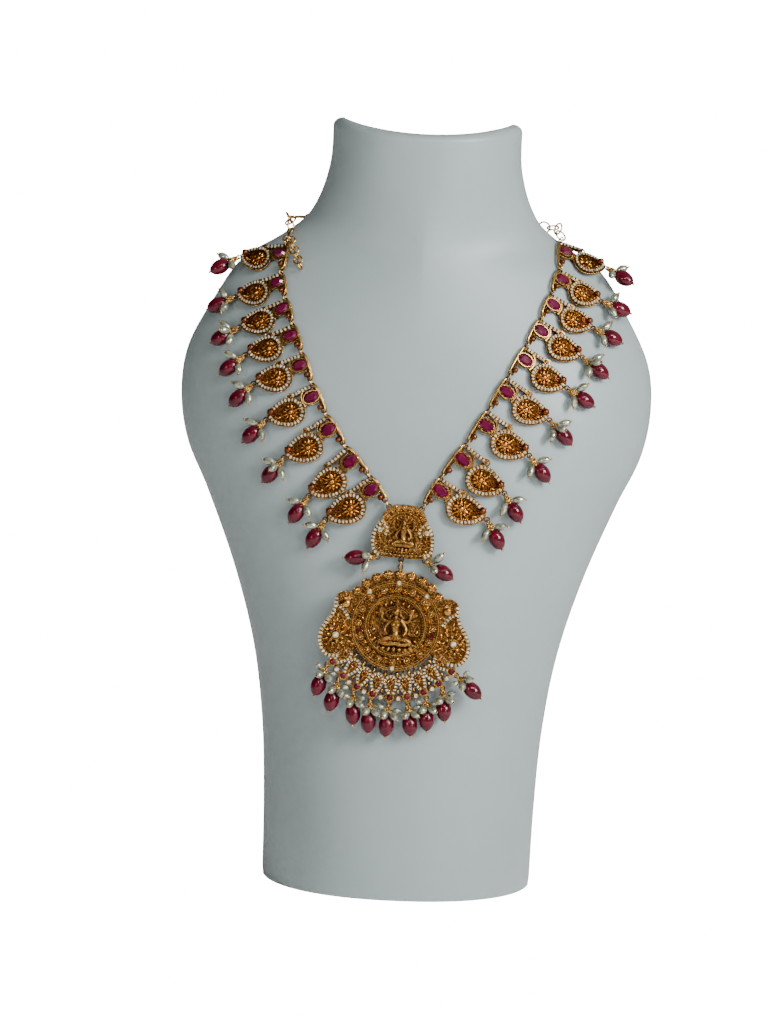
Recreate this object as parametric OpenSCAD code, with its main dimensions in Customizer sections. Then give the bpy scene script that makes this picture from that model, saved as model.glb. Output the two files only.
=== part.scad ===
// Long temple necklace with mango units and two pendants, laid over a plain half-shell neck bust.
// Frame: +X to the viewer's right, -Y towards the viewer, +Z up, in millimetres.
// The origin is the middle of the front of the bust's base rim, where the bust stands.

/* [Bust] */
// Width of the bust across the shoulders
bust_w = 200; // [180:1:220]
// Height of the bust
bust_h = 325; // [308:1:345]
// Depth of the bust at its base
base_depth = 60; // [54:1:68]
// Wall of the half shell
shell_wall = 3; // [2.4:0.1:4]
// Radius of the rounded lower corners
foot_corner = 10; // [6:1:14]
// Radius of the rounded upper corners
neck_corner = 5; // [3:0.5:8]

/* [Wire and rings] */
// Radius of the wire of eyes, rings and links
wire_r = 0.3; // [0.25:0.01:0.34]
// Radius of a small soldered eye, to the middle of its wire
eye_r = 0.95; // [0.9:0.01:1.1]
// Radius of a jump ring, to the middle of its wire
ring_r = 1.6; // [1.5:0.05:1.8]
// Gap between pieces that lie against each other
gap = 0.25; // [0.15:0.01:0.35]

/* [Chain units] */
// Length of the oval stone, across the chain
oval_l = 7; // [6:0.1:7.4]
// Width of the oval stone, along the chain
oval_w = 4.7; // [4.3:0.1:5.4]
// Radius of the round end of a mango
mango_r = 6.4; // [5.4:0.1:6.6]
// How far the tip of a mango reaches past its round end
mango_reach = 4.1; // [3.4:0.1:4.8]
// How far the tip bends up the chain
mango_bend = 1.9; // [1.2:0.1:2.4]
// Height of the stone border of a mango
mango_rim_h = 2; // [1.6:0.1:2.4]
// Size of the topmost units, as a share of the lowest
small_share = 0.84; // [0.8:0.01:1]

/* [Drops] */
// Length of a ruby drop
drop_l = 9; // [8:0.1:9.6]
// Diameter of a ruby drop
drop_d = 6; // [5.2:0.1:6.3]
// Length of a rice pearl
pearl_l = 5.4; // [4.6:0.1:5.8]
// Diameter of a rice pearl
pearl_d = 3.3; // [2.8:0.1:3.6]
// Radius of the gold cluster that a drop hangs from
cluster_r = 1.35; // [1.2:0.05:1.5]

/* [Pendants] */
// Place of the ring between the two pendants, across
hang_x = -3.6; // [-5:0.1:5]
// Place of the ring between the two pendants, height
hang_z = 143.5; // [138:0.5:150]
// Turn of both pendants, clockwise to the viewer
hang_tilt = 2.4; // [0:0.1:4]
// Radius of the main pendant's round plate
disc_r = 19; // [18:0.1:19.8]
// Radius of the ring round the relief figure
halo_r = 12.4; // [11.5:0.1:13]
// Thickness of both pendants' plates
plate_t = 1.6; // [1.3:0.1:2]
// Width of the upper pendant at its widest
plaque_w = 26.6; // [25:0.1:28]
// Height of the upper pendant
plaque_h = 22; // [20.5:0.1:23]

/* [Back chain] */
// Radius of a chain link, to the middle of its wire
link_r = 2.4; // [2.2:0.05:2.6]
// Radius of the wire of a chain link
link_wire = 0.4; // [0.34:0.01:0.45]
// Radius of a ring of the free end, to the middle of its wire
free_r = 1.8; // [1.7:0.05:2]
// Number of rings on the free end of the chain
free_rings = 7; // [4:1:8]

/* [Hidden] */
LEFT = -1;
RIGHT = 1;
UNITS = 9;
FRINGE = 9;
ROUND = 32;
UNIT_NODES = [for (side = ["left", "right"]) for (i = [1:UNITS]) str("unit_", side, "_", i)];
RUBY_NODES = [for (side = ["left", "right"]) for (i = [1:UNITS]) str("ruby_", side, "_", i)];

GOLD = [0.72, 0.47, 0.16];
RUBY = [0.55, 0.03, 0.18];
PEARL = [0.88, 0.86, 0.76];
CRYSTAL = [0.93, 0.94, 0.95];
RESIN = [0.84, 0.87, 0.88];

// Sections of the bust, from the base rim up, chosen by eye from the outline.
// Columns: height as a share of bust_h, half width as a share of bust_w / 2,
// depth as a share of base_depth, and the power that rounds the plan (2 is an ellipse).
SECTIONS = [
    [0.00, 0.573, 1.000, 2.20],
    [0.1015, 0.580, 1.000, 2.20],
    [0.203, 0.600, 0.990, 2.20],
    [0.3046, 0.650, 0.975, 2.20],
    [0.406, 0.745, 0.950, 2.20],
    [0.5077, 0.875, 0.910, 2.20],
    [0.5686, 0.965, 0.870, 2.10],
    [0.6295, 1.000, 0.820, 2.00],
    [0.6905, 0.980, 0.750, 1.85],
    [0.7514, 0.885, 0.670, 1.60],
    [0.8123, 0.755, 0.585, 1.40],
    [0.8428, 0.600, 0.550, 1.40],
    [0.8732, 0.485, 0.535, 1.60],
    [0.9342, 0.410, 0.535, 2.00],
    [1.00, 0.400, 0.550, 2.00]];
SHARE_Z = 0;
SHARE_W = 1;
SHARE_D = 2;
PLAN = 3;

// Places of the jump rings on each side, from the neck down. Columns: across, height.
ROUTE_LEFT = [[-56.5, 270], [-58.5, 259], [-56.5, 249], [-53, 239], [-48.7, 228],
    [-44, 216], [-37.5, 203.5], [-29, 191], [-18.5, 179.5]];
ROUTE_RIGHT = [[57, 275], [57.5, 265], [54.5, 255.5], [50.5, 245.5], [45, 234.5],
    [38, 222], [30.5, 208.5], [22, 194.5], [12, 180.5]];

// Drops under the mangoes, from the neck down.
// Columns: turn from straight down towards the outside, number of pearls.
DROPS_LEFT = [[46, 2], [46, 2], [44, 3], [38, 2], [34, 2], [34, 2], [30, 3], [26, 2], [24, 2]];
DROPS_RIGHT = [[48, 2], [54, 2], [50, 2], [42, 3], [48, 2], [36, 3], [32, 2], [26, 2], [24, 2]];

// Drops of the fringe, from the left: turn from straight down towards the right.
FRINGE_TURNS = [-18, -14, 4, 0, -2, 10, 6, 8, 52];

// Vectors and frames
function unit(v) = v / norm(v);
function mix(a, b, t) = a + (b - a) * t;
// Placing matrix with local X along a direction and local Z off the surface
function placing(origin, along, off) =
    let (x = unit(along), z = unit(off - (off * x) * x), y = cross(z, x))
    [[x[0], y[0], z[0], origin[0]],
     [x[1], y[1], z[1], origin[1]],
     [x[2], y[2], z[2], origin[2]],
     [0, 0, 0, 1]];
function moved(matrix, p) = let (q = matrix * [p[0], p[1], p[2], 1]) [q[0], q[1], q[2]];

// The bust's surface: smooth curves through SECTIONS, column by column
LAST = len(SECTIONS) - 1;
function section_below(s, i = 0) =
    i >= LAST - 1 || s < SECTIONS[i + 1][SHARE_Z] ? i : section_below(s, i + 1);
function slope(i, col) =
    let (a = SECTIONS[max(0, i - 1)], b = SECTIONS[min(LAST, i + 1)])
    (b[col] - a[col]) / (b[SHARE_Z] - a[SHARE_Z]);
function section(z, col) =
    let (s = min(1, max(0, z / bust_h)), i = section_below(s),
         a = SECTIONS[i], b = SECTIONS[i + 1],
         h = b[SHARE_Z] - a[SHARE_Z], t = (s - a[SHARE_Z]) / h,
         t2 = t * t, t3 = t2 * t)
    (2 * t3 - 3 * t2 + 1) * a[col] + (t3 - 2 * t2 + t) * h * slope(i, col)
    + (3 * t2 - 2 * t3) * b[col] + (t3 - t2) * h * slope(i + 1, col);
function half_width(z) = bust_w / 2 * section(z, SHARE_W);
function front_depth(z) = base_depth * section(z, SHARE_D);
back_y = base_depth - shell_wall / 2;
function skin(x, z) =
    let (p = section(z, PLAN), q = min(1, abs(x) / half_width(z)))
    [x, back_y - front_depth(z) * pow(1 - pow(q, p), 1 / p), z];
function skin_off(x, z) =
    let (e = 0.5,
         dx = (skin(x + e, z)[1] - skin(x - e, z)[1]) / (2 * e),
         dz = (skin(x, z + e)[1] - skin(x, z - e)[1]) / (2 * e))
    unit([dx, -1, dz]);
function over_skin(x, z, lift) = skin(x, z) + lift * skin_off(x, z);

// Pendants: one flat frame for both, hung at the ring between them
hang_lift = ring_r + wire_r + gap + 0.5;
hang_point = over_skin(hang_x, hang_z, hang_lift);
HANG = placing(hang_point, [cos(hang_tilt), 0, -sin(hang_tilt)], skin_off(hang_x, hang_z - disc_r));
plate_drop = ring_r + wire_r + 3 * gap;
disc_y = -(plate_drop + disc_r + 4.5);
plaque_y = plate_drop + plaque_h / 2;
corner_eye = [plaque_w * 0.26, plaque_y + plaque_h * 0.41 + eye_r * 0.8];
foot_eye = [plaque_w * 0.37, plaque_y - plaque_h / 2 - eye_r * 0.75];

// Joints of the chain: the middle of every jump ring
ring_lift = ring_r + wire_r + gap;
function route(side) = side == LEFT ? ROUTE_LEFT : ROUTE_RIGHT;
function joint(side, k) =
    k < UNITS
    ? over_skin(route(side)[k][0], route(side)[k][1], ring_lift)
    : let (eye = moved(HANG, [side * corner_eye[0], corner_eye[1], 0]),
           above = joint(side, UNITS - 1))
      eye + ring_r * unit(above - eye);
function pitch(side, i) = norm(joint(side, i) - joint(side, i - 1));
function chain_way(side, i) = unit(joint(side, i) - joint(side, i - 1));
function grade(i) = mix(small_share, 1, (i - 1) / (UNITS - 1));

// Local places in a unit: X down the chain from its upper joint, Y outward, Z off the bust
function oval_at(side, i) = [pitch(side, i) * 0.4, 2.4 * grade(i)];
function mango_at(side, i) = [pitch(side, i) * 0.52, (2.4 + oval_l / 2 + 1.7 + mango_r) * grade(i)];
function unit_frame(side, i) =
    let (start = joint(side, i - 1), way = chain_way(side, i),
         off = skin_off(route(side)[i - 1][0], route(side)[i - 1][1]),
         out = side * cross(off, way),
         spot = mango_at(side, i),
         guess = start + spot[0] * way + spot[1] * unit(out),
         rest = over_skin(guess[0], guess[2], ring_lift))
    placing(start, way, side * cross(way, rest - start));
// A point given in a unit's local places, in the part's frame
function unit_point(side, i, p) = moved(unit_frame(side, i), [p[0], side * p[1], p[2]]);
mango_tip = [-mango_bend, mango_r + mango_reach];
tip_eye_out = eye_r + 0.2;
function tip_eye(side, i) =
    let (m = mango_at(side, i), g = grade(i))
    unit_point(side, i, [m[0] + mango_tip[0] * g, m[1] + mango_tip[1] * g + tip_eye_out, 0]);

// Drops: a ring through an eye, a gold cluster, a ruby and pearls on head pins.
// Local X runs down the drop from the eye, Z off the bust.
cluster_at = 2 * ring_r * 0.62 + cluster_r;
ruby_at = cluster_at + cluster_r + gap + drop_l / 2;
drop_lift = drop_d / 2 + gap;
function drop_frame(side, eye, turn_out) =
    let (reach = abs(eye[0]) + ruby_at * sin(turn_out), z = eye[2] - ruby_at * cos(turn_out),
         x = side * min(reach, half_width(z) * 0.94), off = skin_off(x, z),
         rest = skin(x, z) + [side * (reach - abs(x)), 0, 0] + drop_lift * 1.1 * off)
    placing(eye, rest - eye, off);
function drops(side) = side == LEFT ? DROPS_LEFT : DROPS_RIGHT;

// Directions of the pearl pins round a drop. Columns: turn in its plane, rise off the bust.
SIDE_PEARLS = [[62, 14], [-62, 14], [8, 62]];
FRINGE_PEARLS = [[52, 42], [-34, 57]];

// Outlines
function ellipse(a, b, n) = [for (k = [0:n - 1]) [a * cos(360 * k / n), b * sin(360 * k / n)]];
// A mango's outline, grown outward; its tip lies towards +Y and bends to -X
function mango_outline(grow, r = mango_r, reach = mango_reach, bend = mango_bend, n = 30) =
    [for (k = [0:n - 1])
        let (a = 360 * k / n, pull = pow((1 + cos(a)) / 2, 4))
        [(r + grow) * sin(a) - pull * bend, (r + grow) * cos(a) + pull * (reach + grow * 0.5)]];
// An arc band of a scroll, from one turn to another
function arc_band(r, w, from, to, n = 12) = concat(
    [for (k = [0:n]) let (a = mix(from, to, k / n)) [(r + w / 2) * cos(a), (r + w / 2) * sin(a)]],
    [for (k = [n:-1:0]) let (a = mix(from, to, k / n)) [(r - w / 2) * cos(a), (r - w / 2) * sin(a)]]);
// A closed outline through a few points, with curves between them
function curve_point(a, b, c, d, t) =
    0.5 * (2 * b + (c - a) * t + (2 * a - 5 * b + 4 * c - d) * t * t + (3 * b - a - 3 * c + d) * t * t * t);
function curved(p, n = 3) = let (m = len(p)) [for (i = [0:m - 1]) for (k = [0:n - 1])
    curve_point(p[(i + m - 1) % m], p[i], p[(i + 1) % m], p[(i + 2) % m], k / n)];
// Half outline of a bead for turning, from end to end, outside a bore
function bead_outline(l, d, bore, n = 8) =
    [for (k = [0:n])
        let (edge = asin(min(1, 2 * bore / d)), a = mix(edge, 180 - edge, k / n))
        [k == 0 || k == n ? bore : d / 2 * sin(a), l / 2 * cos(a)]];

// Small shapes
module torus(r, w) {
    rotate_extrude($fn = ROUND) translate([r, 0]) circle(r = w, $fn = 16);
}
module wire_arc(r, from, to, w) {
    rotate([0, 0, from]) rotate_extrude(angle = to - from, $fn = ROUND)
        translate([r, 0]) circle(r = w, $fn = 16);
}
module rod(a, b, w) {
    d = b - a;
    translate(a) rotate([0, acos(d[2] / norm(d)), atan2(d[1], d[0])]) cylinder(r = w, h = norm(d), $fn = 16);
}
module bead(r) { sphere(r = r, $fn = 20); }
module pillar(r, h) { cylinder(r = r, h = h, $fn = ROUND); }
module band(r, w, h) {
    difference() {
        pillar(r + w / 2, h);
        translate([0, 0, -1]) pillar(r - w / 2, h + 2);
    }
}

// A cut stone with a table, crown and flat foot, its girdle at z = 0
module cut_stone(l, w, h, sides) {
    // Columns: share of the outline, height as a share of h
    rows = [[0.62, -0.4], [1, -0.06], [1, 0.06], [0.64, 0.6]];
    points = [for (row = rows) for (p = ellipse(w / 2 * row[0], l / 2 * row[0], sides))
        [p[0], p[1], h * row[1]]];
    top = (len(rows) - 1) * sides;
    walls = [for (r = [0:len(rows) - 2]) for (k = [0:sides - 1])
        let (n = (k + 1) % sides) [r * sides + k, (r + 1) * sides + k, (r + 1) * sides + n, r * sides + n]];
    polyhedron(points, concat([[for (k = [0:sides - 1]) k]], walls, [[for (k = [sides - 1:-1:0]) top + k]]));
}

// Bust
RIM_STEPS = [[0, 1], [0.5, 0.86], [0.86, 0.5], [1, 0.12]];
rim_h = shell_wall / 2;
function levels() = concat(
    [for (t = [0, 0.13, 0.35, 0.65]) foot_corner * t],
    [for (i = [0:LAST - 1]) for (t = [0, 0.5])
        let (z = bust_h * mix(SECTIONS[i][SHARE_Z], SECTIONS[i + 1][SHARE_Z], t))
        if (z > foot_corner * 0.8 && z < bust_h - neck_corner * 1.2) z],
    [for (t = [1, 0.6]) bust_h - rim_h - neck_corner * t],
    [for (row = RIM_STEPS) bust_h - rim_h + rim_h * row[0]]);
function rim_share(z) =
    let (t = max(0, (z - bust_h + rim_h) / rim_h)) max(0.12, sqrt(max(0, 1 - t * t)));
// How far the rear edges draw back at the rounded corners
function round_inset(r, past) = r - sqrt(r * r - past * past);
function corner_inset(z) = round_inset(foot_corner, max(0, foot_corner - z))
    + round_inset(neck_corner, min(max(0, z - (bust_h - neck_corner)), neck_corner * 0.96));
function plan_ring(z, columns = 26) =
    let (p = section(z, PLAN), half = shell_wall / 2 * rim_share(z),
         w = half_width(z) - shell_wall / 2, d = front_depth(z) - shell_wall / 2,
         from = asin(min(0.9, pow(corner_inset(z) / d, p / 2))),
         at = function (a, off) let (c = cos(a), s = sin(a))
            [(c < 0 ? -1 : 1) * (w + off) * pow(abs(c), 2 / p), back_y - (d + off) * pow(s, 2 / p), z])
    concat([for (k = [0:columns]) at(mix(from, 180 - from, k / columns), half)],
           [for (k = [columns:-1:0]) at(mix(from, 180 - from, k / columns), -half)]);
module display_bust() {
    heights = levels();
    rings = [for (z = heights) plan_ring(z)];
    n = len(rings[0]);
    points = [for (ring = rings) for (p = ring) p];
    top = (len(rings) - 1) * n;
    walls = [for (r = [0:len(rings) - 2]) for (k = [0:n - 1])
        let (m = (k + 1) % n, a = r * n + k, b = r * n + m)
        each [[a, b, a + n], [b, b + n, a + n]]];
    half = n / 2;
    foot = [for (k = [0:half - 2]) let (a = k, b = n - 1 - k) each [[a, b, a + 1], [b, b - 1, a + 1]]];
    head = [for (f = foot) [top + f[0], top + f[2], top + f[1]]];
    color(RESIN) polyhedron(points, concat(walls, foot, head), convexity = 6);
}

// Chain units
module on_unit(side, i) {
    multmatrix(unit_frame(side, i)) {
        if (side == LEFT) mirror([0, 1, 0]) children();
        else children();
    }
}
// A flat strap from one point to another, in the plate's thickness
module strap(a, b, w) {
    d = b - a;
    translate([a[0], a[1], plate_z]) rotate([0, 0, atan2(d[1], d[0])])
        translate([0, -w / 2, 0]) cube([norm(d), w, unit_plate]);
}
module mango(g) {
    translate([0, 0, plate_z]) linear_extrude(unit_plate) polygon(mango_outline(0) * g);
    translate([0, 0, plate_z]) linear_extrude(mango_rim_h) difference() {
        polygon(mango_outline(0) * g);
        polygon(mango_outline(-1.7) * g);
    }
    translate([0, 0, plate_z + 0.2]) pillar(1.6 * g, mango_rim_h);
    for (k = [0:5]) rotate([0, 0, 60 * k]) translate([2.9 * g, 0, plate_z + unit_plate]) bead(0.95 * g);
}
// The cup of the oval stone, less its pocket
module oval_cup(g) {
    translate([0, 0, plate_z]) linear_extrude(cup_h)
        polygon(ellipse((oval_w / 2 + cup_wall) * g, (oval_l / 2 + cup_wall) * g, 24));
}
module oval_pocket(g) {
    translate([0, 0, stone_z - stone_h * 0.4 - seat_gap]) linear_extrude(cup_h)
        polygon(ellipse(oval_w / 2 * g + seat_gap, oval_l / 2 * g + seat_gap, 24));
}
unit_plate = 0.9;
plate_z = -1;
cup_h = 2.1;
cup_wall = 0.55;
seat_gap = 0.12;
stone_z = 0.95;
stone_h = 2.2;
module chain_unit(side, i) {
    g = grade(i);
    l = pitch(side, i);
    oval = oval_at(side, i);
    m = mango_at(side, i);
    finish = l - ring_r;
    crescent = (oval_l / 2 + 1.3) * g;
    bar_x = ring_r + 0.1;
    bar_end = m[1] - mango_r * g * 0.55;
    tip = m + mango_tip * g;
    color(GOLD) on_unit(side, i) difference() {
        union() {
            translate([ring_r, 0, 0]) torus(eye_r, wire_r);
            translate([finish, 0, 0]) torus(eye_r, wire_r);
            strap([ring_r + eye_r, 0], [oval[0] - oval_w * g * 0.25, 0], 0.9);
            strap([finish - eye_r, 0], [oval[0] + oval_w * g * 0.25, 0], 0.9);
            translate([oval[0], oval[1], 0]) oval_cup(g);
            translate([oval[0], oval[1], plate_z]) linear_extrude(unit_plate)
                polygon(arc_band(crescent, 0.9, 55, 172));
            translate([finish - eye_r - 1, 0.9 * g, plate_z]) pillar(0.95 * g, 1.7);
            translate([bar_x - 0.8, eye_r, plate_z]) cube([1.6, bar_end - eye_r, 1.5]);
            translate([bar_x, bar_end + 0.4, plate_z]) pillar(1.25, 1.1);
            strap([bar_x, bar_end], [m[0] - 1, m[1] - mango_r * g * 0.4], 1.1);
            strap([oval[0] + crescent * 0.5, oval[1] + crescent * 0.85],
                [m[0] + 0.6, m[1] - mango_r * g * 0.8], 0.9);
            translate([m[0], m[1], 0]) mango(g);
            translate([tip[0] - 2 * g, tip[1] - 2.4 * g, plate_z]) pillar(1.2 * g, 2.1);
            translate([tip[0], tip[1] + tip_eye_out, 0]) torus(eye_r, wire_r);
            strap([tip[0], tip[1] - 1.2], [tip[0], tip[1] + 0.25], 1);
        }
        translate([oval[0], oval[1], 0]) oval_pocket(g);
    }
}
module unit_ruby(side, i) {
    g = grade(i);
    oval = oval_at(side, i);
    color(RUBY) on_unit(side, i) translate([oval[0], oval[1], stone_z])
        cut_stone(oval_l * g, oval_w * g, stone_h, 12);
}

// Jump rings of one side
module chain_rings(side) {
    color(GOLD) for (k = [0:UNITS]) {
        above = k > 0 ? chain_way(side, k) : chain_way(side, 1);
        below = k < UNITS ? chain_way(side, k + 1) : above;
        off = k < UNITS ? skin_off(route(side)[k][0], route(side)[k][1]) : [0, -1, 0];
        multmatrix(placing(joint(side, k), above + below, off)) rotate([90, 0, 0]) torus(ring_r, wire_r);
    }
}

// Parts of one drop, in its local frame
module along_pin(way) {
    rotate([0, 0, way[0]]) rotate([0, -way[1], 0]) children();
}
pearl_mid = cluster_r + gap + pearl_l / 2;
pin_r = 0.25;
bore_r = 0.4;
module drop_metal(ways) {
    loop_r = ring_r * 0.62;
    translate([loop_r, 0, 0]) rotate([90, 0, 0]) torus(loop_r, wire_r * 0.9);
    translate([cluster_at, 0, 0]) {
        bead(cluster_r);
        rod([0, 0, 0], [ruby_at - cluster_at + drop_l / 2 + 0.5, 0, 0], pin_r);
        translate([ruby_at - cluster_at + drop_l / 2 + 0.5, 0, 0]) bead(0.5);
        for (way = ways) along_pin(way) {
            rod([0, 0, 0], [pearl_mid + pearl_l / 2 + 0.4, 0, 0], pin_r);
            translate([pearl_mid + pearl_l / 2 + 0.4, 0, 0]) bead(0.45);
        }
    }
}
module drop_ruby() {
    translate([ruby_at, 0, 0]) rotate([0, 90, 0])
        rotate_extrude($fn = ROUND) polygon(bead_outline(drop_l, drop_d, bore_r, 10));
}
module drop_pearls(ways) {
    translate([cluster_at, 0, 0]) for (way = ways) along_pin(way)
        translate([pearl_mid, 0, 0]) rotate([0, 90, 0])
            rotate_extrude($fn = ROUND) polygon(bead_outline(pearl_l, pearl_d, bore_r));
}
module at_drop(side, i) {
    multmatrix(drop_frame(side, tip_eye(side, i), drops(side)[i - 1][0])) children();
}
function side_ways(side, i) = [for (k = [0:drops(side)[i - 1][1] - 1]) SIDE_PEARLS[k]];
module side_metal(side) { color(GOLD) for (i = [1:UNITS]) at_drop(side, i) drop_metal(side_ways(side, i)); }
module side_rubies(side) { color(RUBY) for (i = [1:UNITS]) at_drop(side, i) drop_ruby(); }
module side_pearls(side) {
    color(PEARL) for (i = [1:UNITS]) at_drop(side, i) drop_pearls(side_ways(side, i));
}

// Upper pendant, in the hang frame
module in_hang() { multmatrix(HANG) children(); }
// Columns: half width as a share of plaque_w / 2, height as a share of plaque_h from the foot
PLAQUE_SIDE = [[0.78, 0], [0.95, 0.1], [1, 0.3], [0.94, 0.5],
    [0.74, 0.68], [0.62, 0.86], [0.4, 0.97], [0.16, 1]];
function plaque_half(grow) = [for (row = PLAQUE_SIDE)
    [row[0] * (plaque_w / 2 + grow), (row[1] - 0.5) * (plaque_h + 2 * grow)]];
function plaque_outline(grow) =
    let (half = plaque_half(grow))
    concat(half, [for (k = [len(half) - 1:-1:0]) [-half[k][0], half[k][1]]]);
module seated_figure(h) {
    translate([0, h * 0.8, 0]) bead(h * 0.13);
    translate([0, h * 0.98, 0]) bead(h * 0.08);
    rod([0, h * 0.2, 0], [0, h * 0.68, 0], h * 0.13);
    for (s = [-1, 1]) {
        rod([0, h * 0.14, 0], [s * h * 0.34, h * 0.1, 0], h * 0.1);
        rod([s * h * 0.08, h * 0.6, 0], [s * h * 0.3, h * 0.4, 0], h * 0.06);
        rod([s * h * 0.08, h * 0.62, 0], [s * h * 0.34, h * 0.78, 0], h * 0.055);
    }
}
module plaque() {
    face = plate_t / 2;
    color(GOLD) in_hang() {
        translate([0, plaque_y, 0]) {
            translate([0, 0, -face]) linear_extrude(plate_t) polygon(curved(plaque_outline(0)));
            translate([0, 0, -face]) linear_extrude(plate_t + 0.9) difference() {
                polygon(curved(plaque_outline(0)));
                polygon(curved(plaque_outline(-1.5)));
            }
            translate([0, -plaque_h * 0.3, face * 0.9]) seated_figure(plaque_h * 0.56);
            translate([0, plaque_h * 0.02, 0.1]) wire_arc(plaque_h * 0.34, 0, 180, 1);
            for (s = [-1, 1]) {
                translate([s * plaque_h * 0.34, plaque_h * 0.02, 0.1])
                    rod([0, 0, 0], [0, -plaque_h * 0.34, 0], 1);
                translate([s * plaque_w * 0.37, 0, face]) torus(1.7, 0.7);
            }
            for (k = [-5:5]) translate([k * plaque_w * 0.066, -plaque_h / 2 + 0.9, face + 0.6]) bead(0.85);
        }
        for (s = [-1, 1]) {
            translate([s * corner_eye[0], corner_eye[1], 0]) torus(eye_r, wire_r);
            translate([s * foot_eye[0], foot_eye[1], 0]) torus(eye_r, wire_r);
        }
        translate([0, ring_r, 0]) torus(eye_r, wire_r);
        rod([0, ring_r + eye_r, 0], [0, plate_drop + 1, 0], wire_r * 1.3);
    }
}
// Corner drops. Columns: side, turn of the drop from straight down towards the right;
// CORNER_PEARLS gives the pin directions of each
CORNER_DROPS = [[LEFT, -84], [RIGHT, 62]];
CORNER_PEARLS = [[[62, 14], [-30, 60]], [[75, 5], [-20, 60]]];
module at_corner(row) {
    in_hang() translate([row[0] * foot_eye[0], foot_eye[1], 0]) rotate([0, 0, row[1] - 90])
        rotate([0, -4, 0]) children();
}
module plaque_drop_metal() {
    color(GOLD) for (k = [0, 1]) at_corner(CORNER_DROPS[k]) drop_metal(CORNER_PEARLS[k]);
}
module plaque_drop_rubies() { color(RUBY) for (row = CORNER_DROPS) at_corner(row) drop_ruby(); }
module plaque_drop_pearls() {
    color(PEARL) for (k = [0, 1]) at_corner(CORNER_DROPS[k]) drop_pearls(CORNER_PEARLS[k]);
}

module pendant_link() { color(GOLD) in_hang() rotate([0, 90, 0]) torus(ring_r, wire_r); }

// Main pendant, in the hang frame with its middle at the disc's middle
module in_disc() { in_hang() translate([0, disc_y, 0]) children(); }
fringe_mango_r = 2.75;
fringe_r = disc_r + 6.4;
fringe_step = 13.8;
function fringe_turn(k) = (k - (FRINGE - 1) / 2) * fringe_step;
// A small mango of the fringe, its tip outward
module small_mango() {
    translate([0, 0, -0.7]) linear_extrude(1.2) polygon(mango_outline(0, fringe_mango_r, 3.4, 0.5, 20));
    translate([0, 0, 0.4]) bead(1.3);
}
// Outline of a side bird, head up and tail down. Columns: across and up, as shares of disc_r
BIRD = [[0.6, 0.62], [0.84, 0.62], [1.02, 0.66], [1.2, 0.66], [1.34, 0.56], [1.36, 0.38], [1.42, 0.18],
    [1.55, -0.02], [1.65, -0.24], [1.67, -0.48], [1.58, -0.7], [1.42, -0.81], [1.22, -0.8],
    [1.04, -0.66], [0.8, -0.5]];
BIRD_EYE = [1.3, -0.3];
function bird_outline(share) = [for (row = curved(BIRD, 2)) (BIRD_EYE + (row - BIRD_EYE) * share) * disc_r];
module on_ring(r, a) {
    translate([r * sin(a), -r * cos(a), 0]) children();
}
module flat_between(outer, inner, h) {
    linear_extrude(h) difference() {
        polygon(outer);
        polygon(inner);
    }
}
CREST = 4;
RING_STONES = [180, 138, -138, 0];
RED_TURNS = [78.75, -78.75];
ring_top = 1.9;
cap_r = fringe_r + 5;
drop_eye_r = cap_r + 2.7;
module pendant_body() {
    face = plate_t / 2;
    lobe_r = disc_r * 0.135;
    petal_r = (disc_r + halo_r) / 2 - 0.2;
    color(GOLD) in_disc() {
        translate([0, 0, -face]) pillar(disc_r, plate_t);
        translate([0, 0, -face]) band(disc_r - 1, 1.5, face + ring_top);
        translate([0, 0, -face]) band(halo_r, 1.1, face + ring_top + 0.4);
        for (k = [0:15]) on_ring(petal_r, 22.5 * k) translate([0, 0, face]) bead(1.5);
        translate([0, -halo_r * 0.72, face]) seated_figure(halo_r * 1.45);
        for (s = [-1, 1]) translate([s * halo_r * 0.55, halo_r * 0.35, face]) bead(1.7);
        for (k = [-CREST:CREST]) on_ring(disc_r + lobe_r * 0.7, 180 + k * 13.2) {
            translate([0, 0, -face]) pillar(lobe_r, plate_t - 0.2);
            translate([0, 0, face - 0.4]) bead(lobe_r * 0.55);
        }
        for (s = [-1, 1]) mirror([s < 0 ? 1 : 0, 0, 0]) {
            translate([0, 0, -face]) linear_extrude(plate_t - 0.1) polygon(bird_outline(1));
            translate([0, 0, -face]) flat_between(bird_outline(1), bird_outline(0.86), plate_t + 0.5);
            translate([disc_r * BIRD_EYE[0], disc_r * BIRD_EYE[1], 0]) {
                translate([0, 0, -face]) pillar(1.9, face + 2.4);
                for (k = [0:6]) rotate([0, 0, 360 / 7 * k]) translate([3.7, 0, face - 0.3]) bead(1.1);
            }
            translate([disc_r * 1.12, disc_r * 0.4, face - 0.4]) bead(1.9);
        }
        for (a = RED_TURNS) on_ring(petal_r, a) translate([0, 0, -face]) pillar(1.3, face + 1.6);
        translate([0, 0, -0.75]) linear_extrude(1)
            polygon(arc_band(cap_r, 1.1, -90 + fringe_turn(0), -90 + fringe_turn(FRINGE - 1), 24));
        for (k = [0:FRINGE - 1]) rotate([0, 0, fringe_turn(k)]) {
            translate([0, -fringe_r + 1.4, 0]) rotate([0, 0, 180]) small_mango();
            translate([0, -cap_r, -0.7]) pillar(1.5, 1.3);
            translate([-0.45, eye_r - drop_eye_r, -0.6]) cube([0.9, drop_eye_r - eye_r - disc_r + 1, 0.75]);
            translate([0, -drop_eye_r, 0]) torus(eye_r, wire_r);
        }
        for (k = [0.5:1:FRINGE - 1.5]) on_ring(cap_r + 0.5, fringe_turn(k))
            translate([0, 0, -0.65]) pillar(1.2, 1.1);
        translate([0, -disc_y - ring_r, 0]) torus(eye_r, wire_r);
        rod([0, disc_r, 0], [0, -disc_y - ring_r - eye_r, 0], wire_r * 1.6);
    }
}
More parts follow.
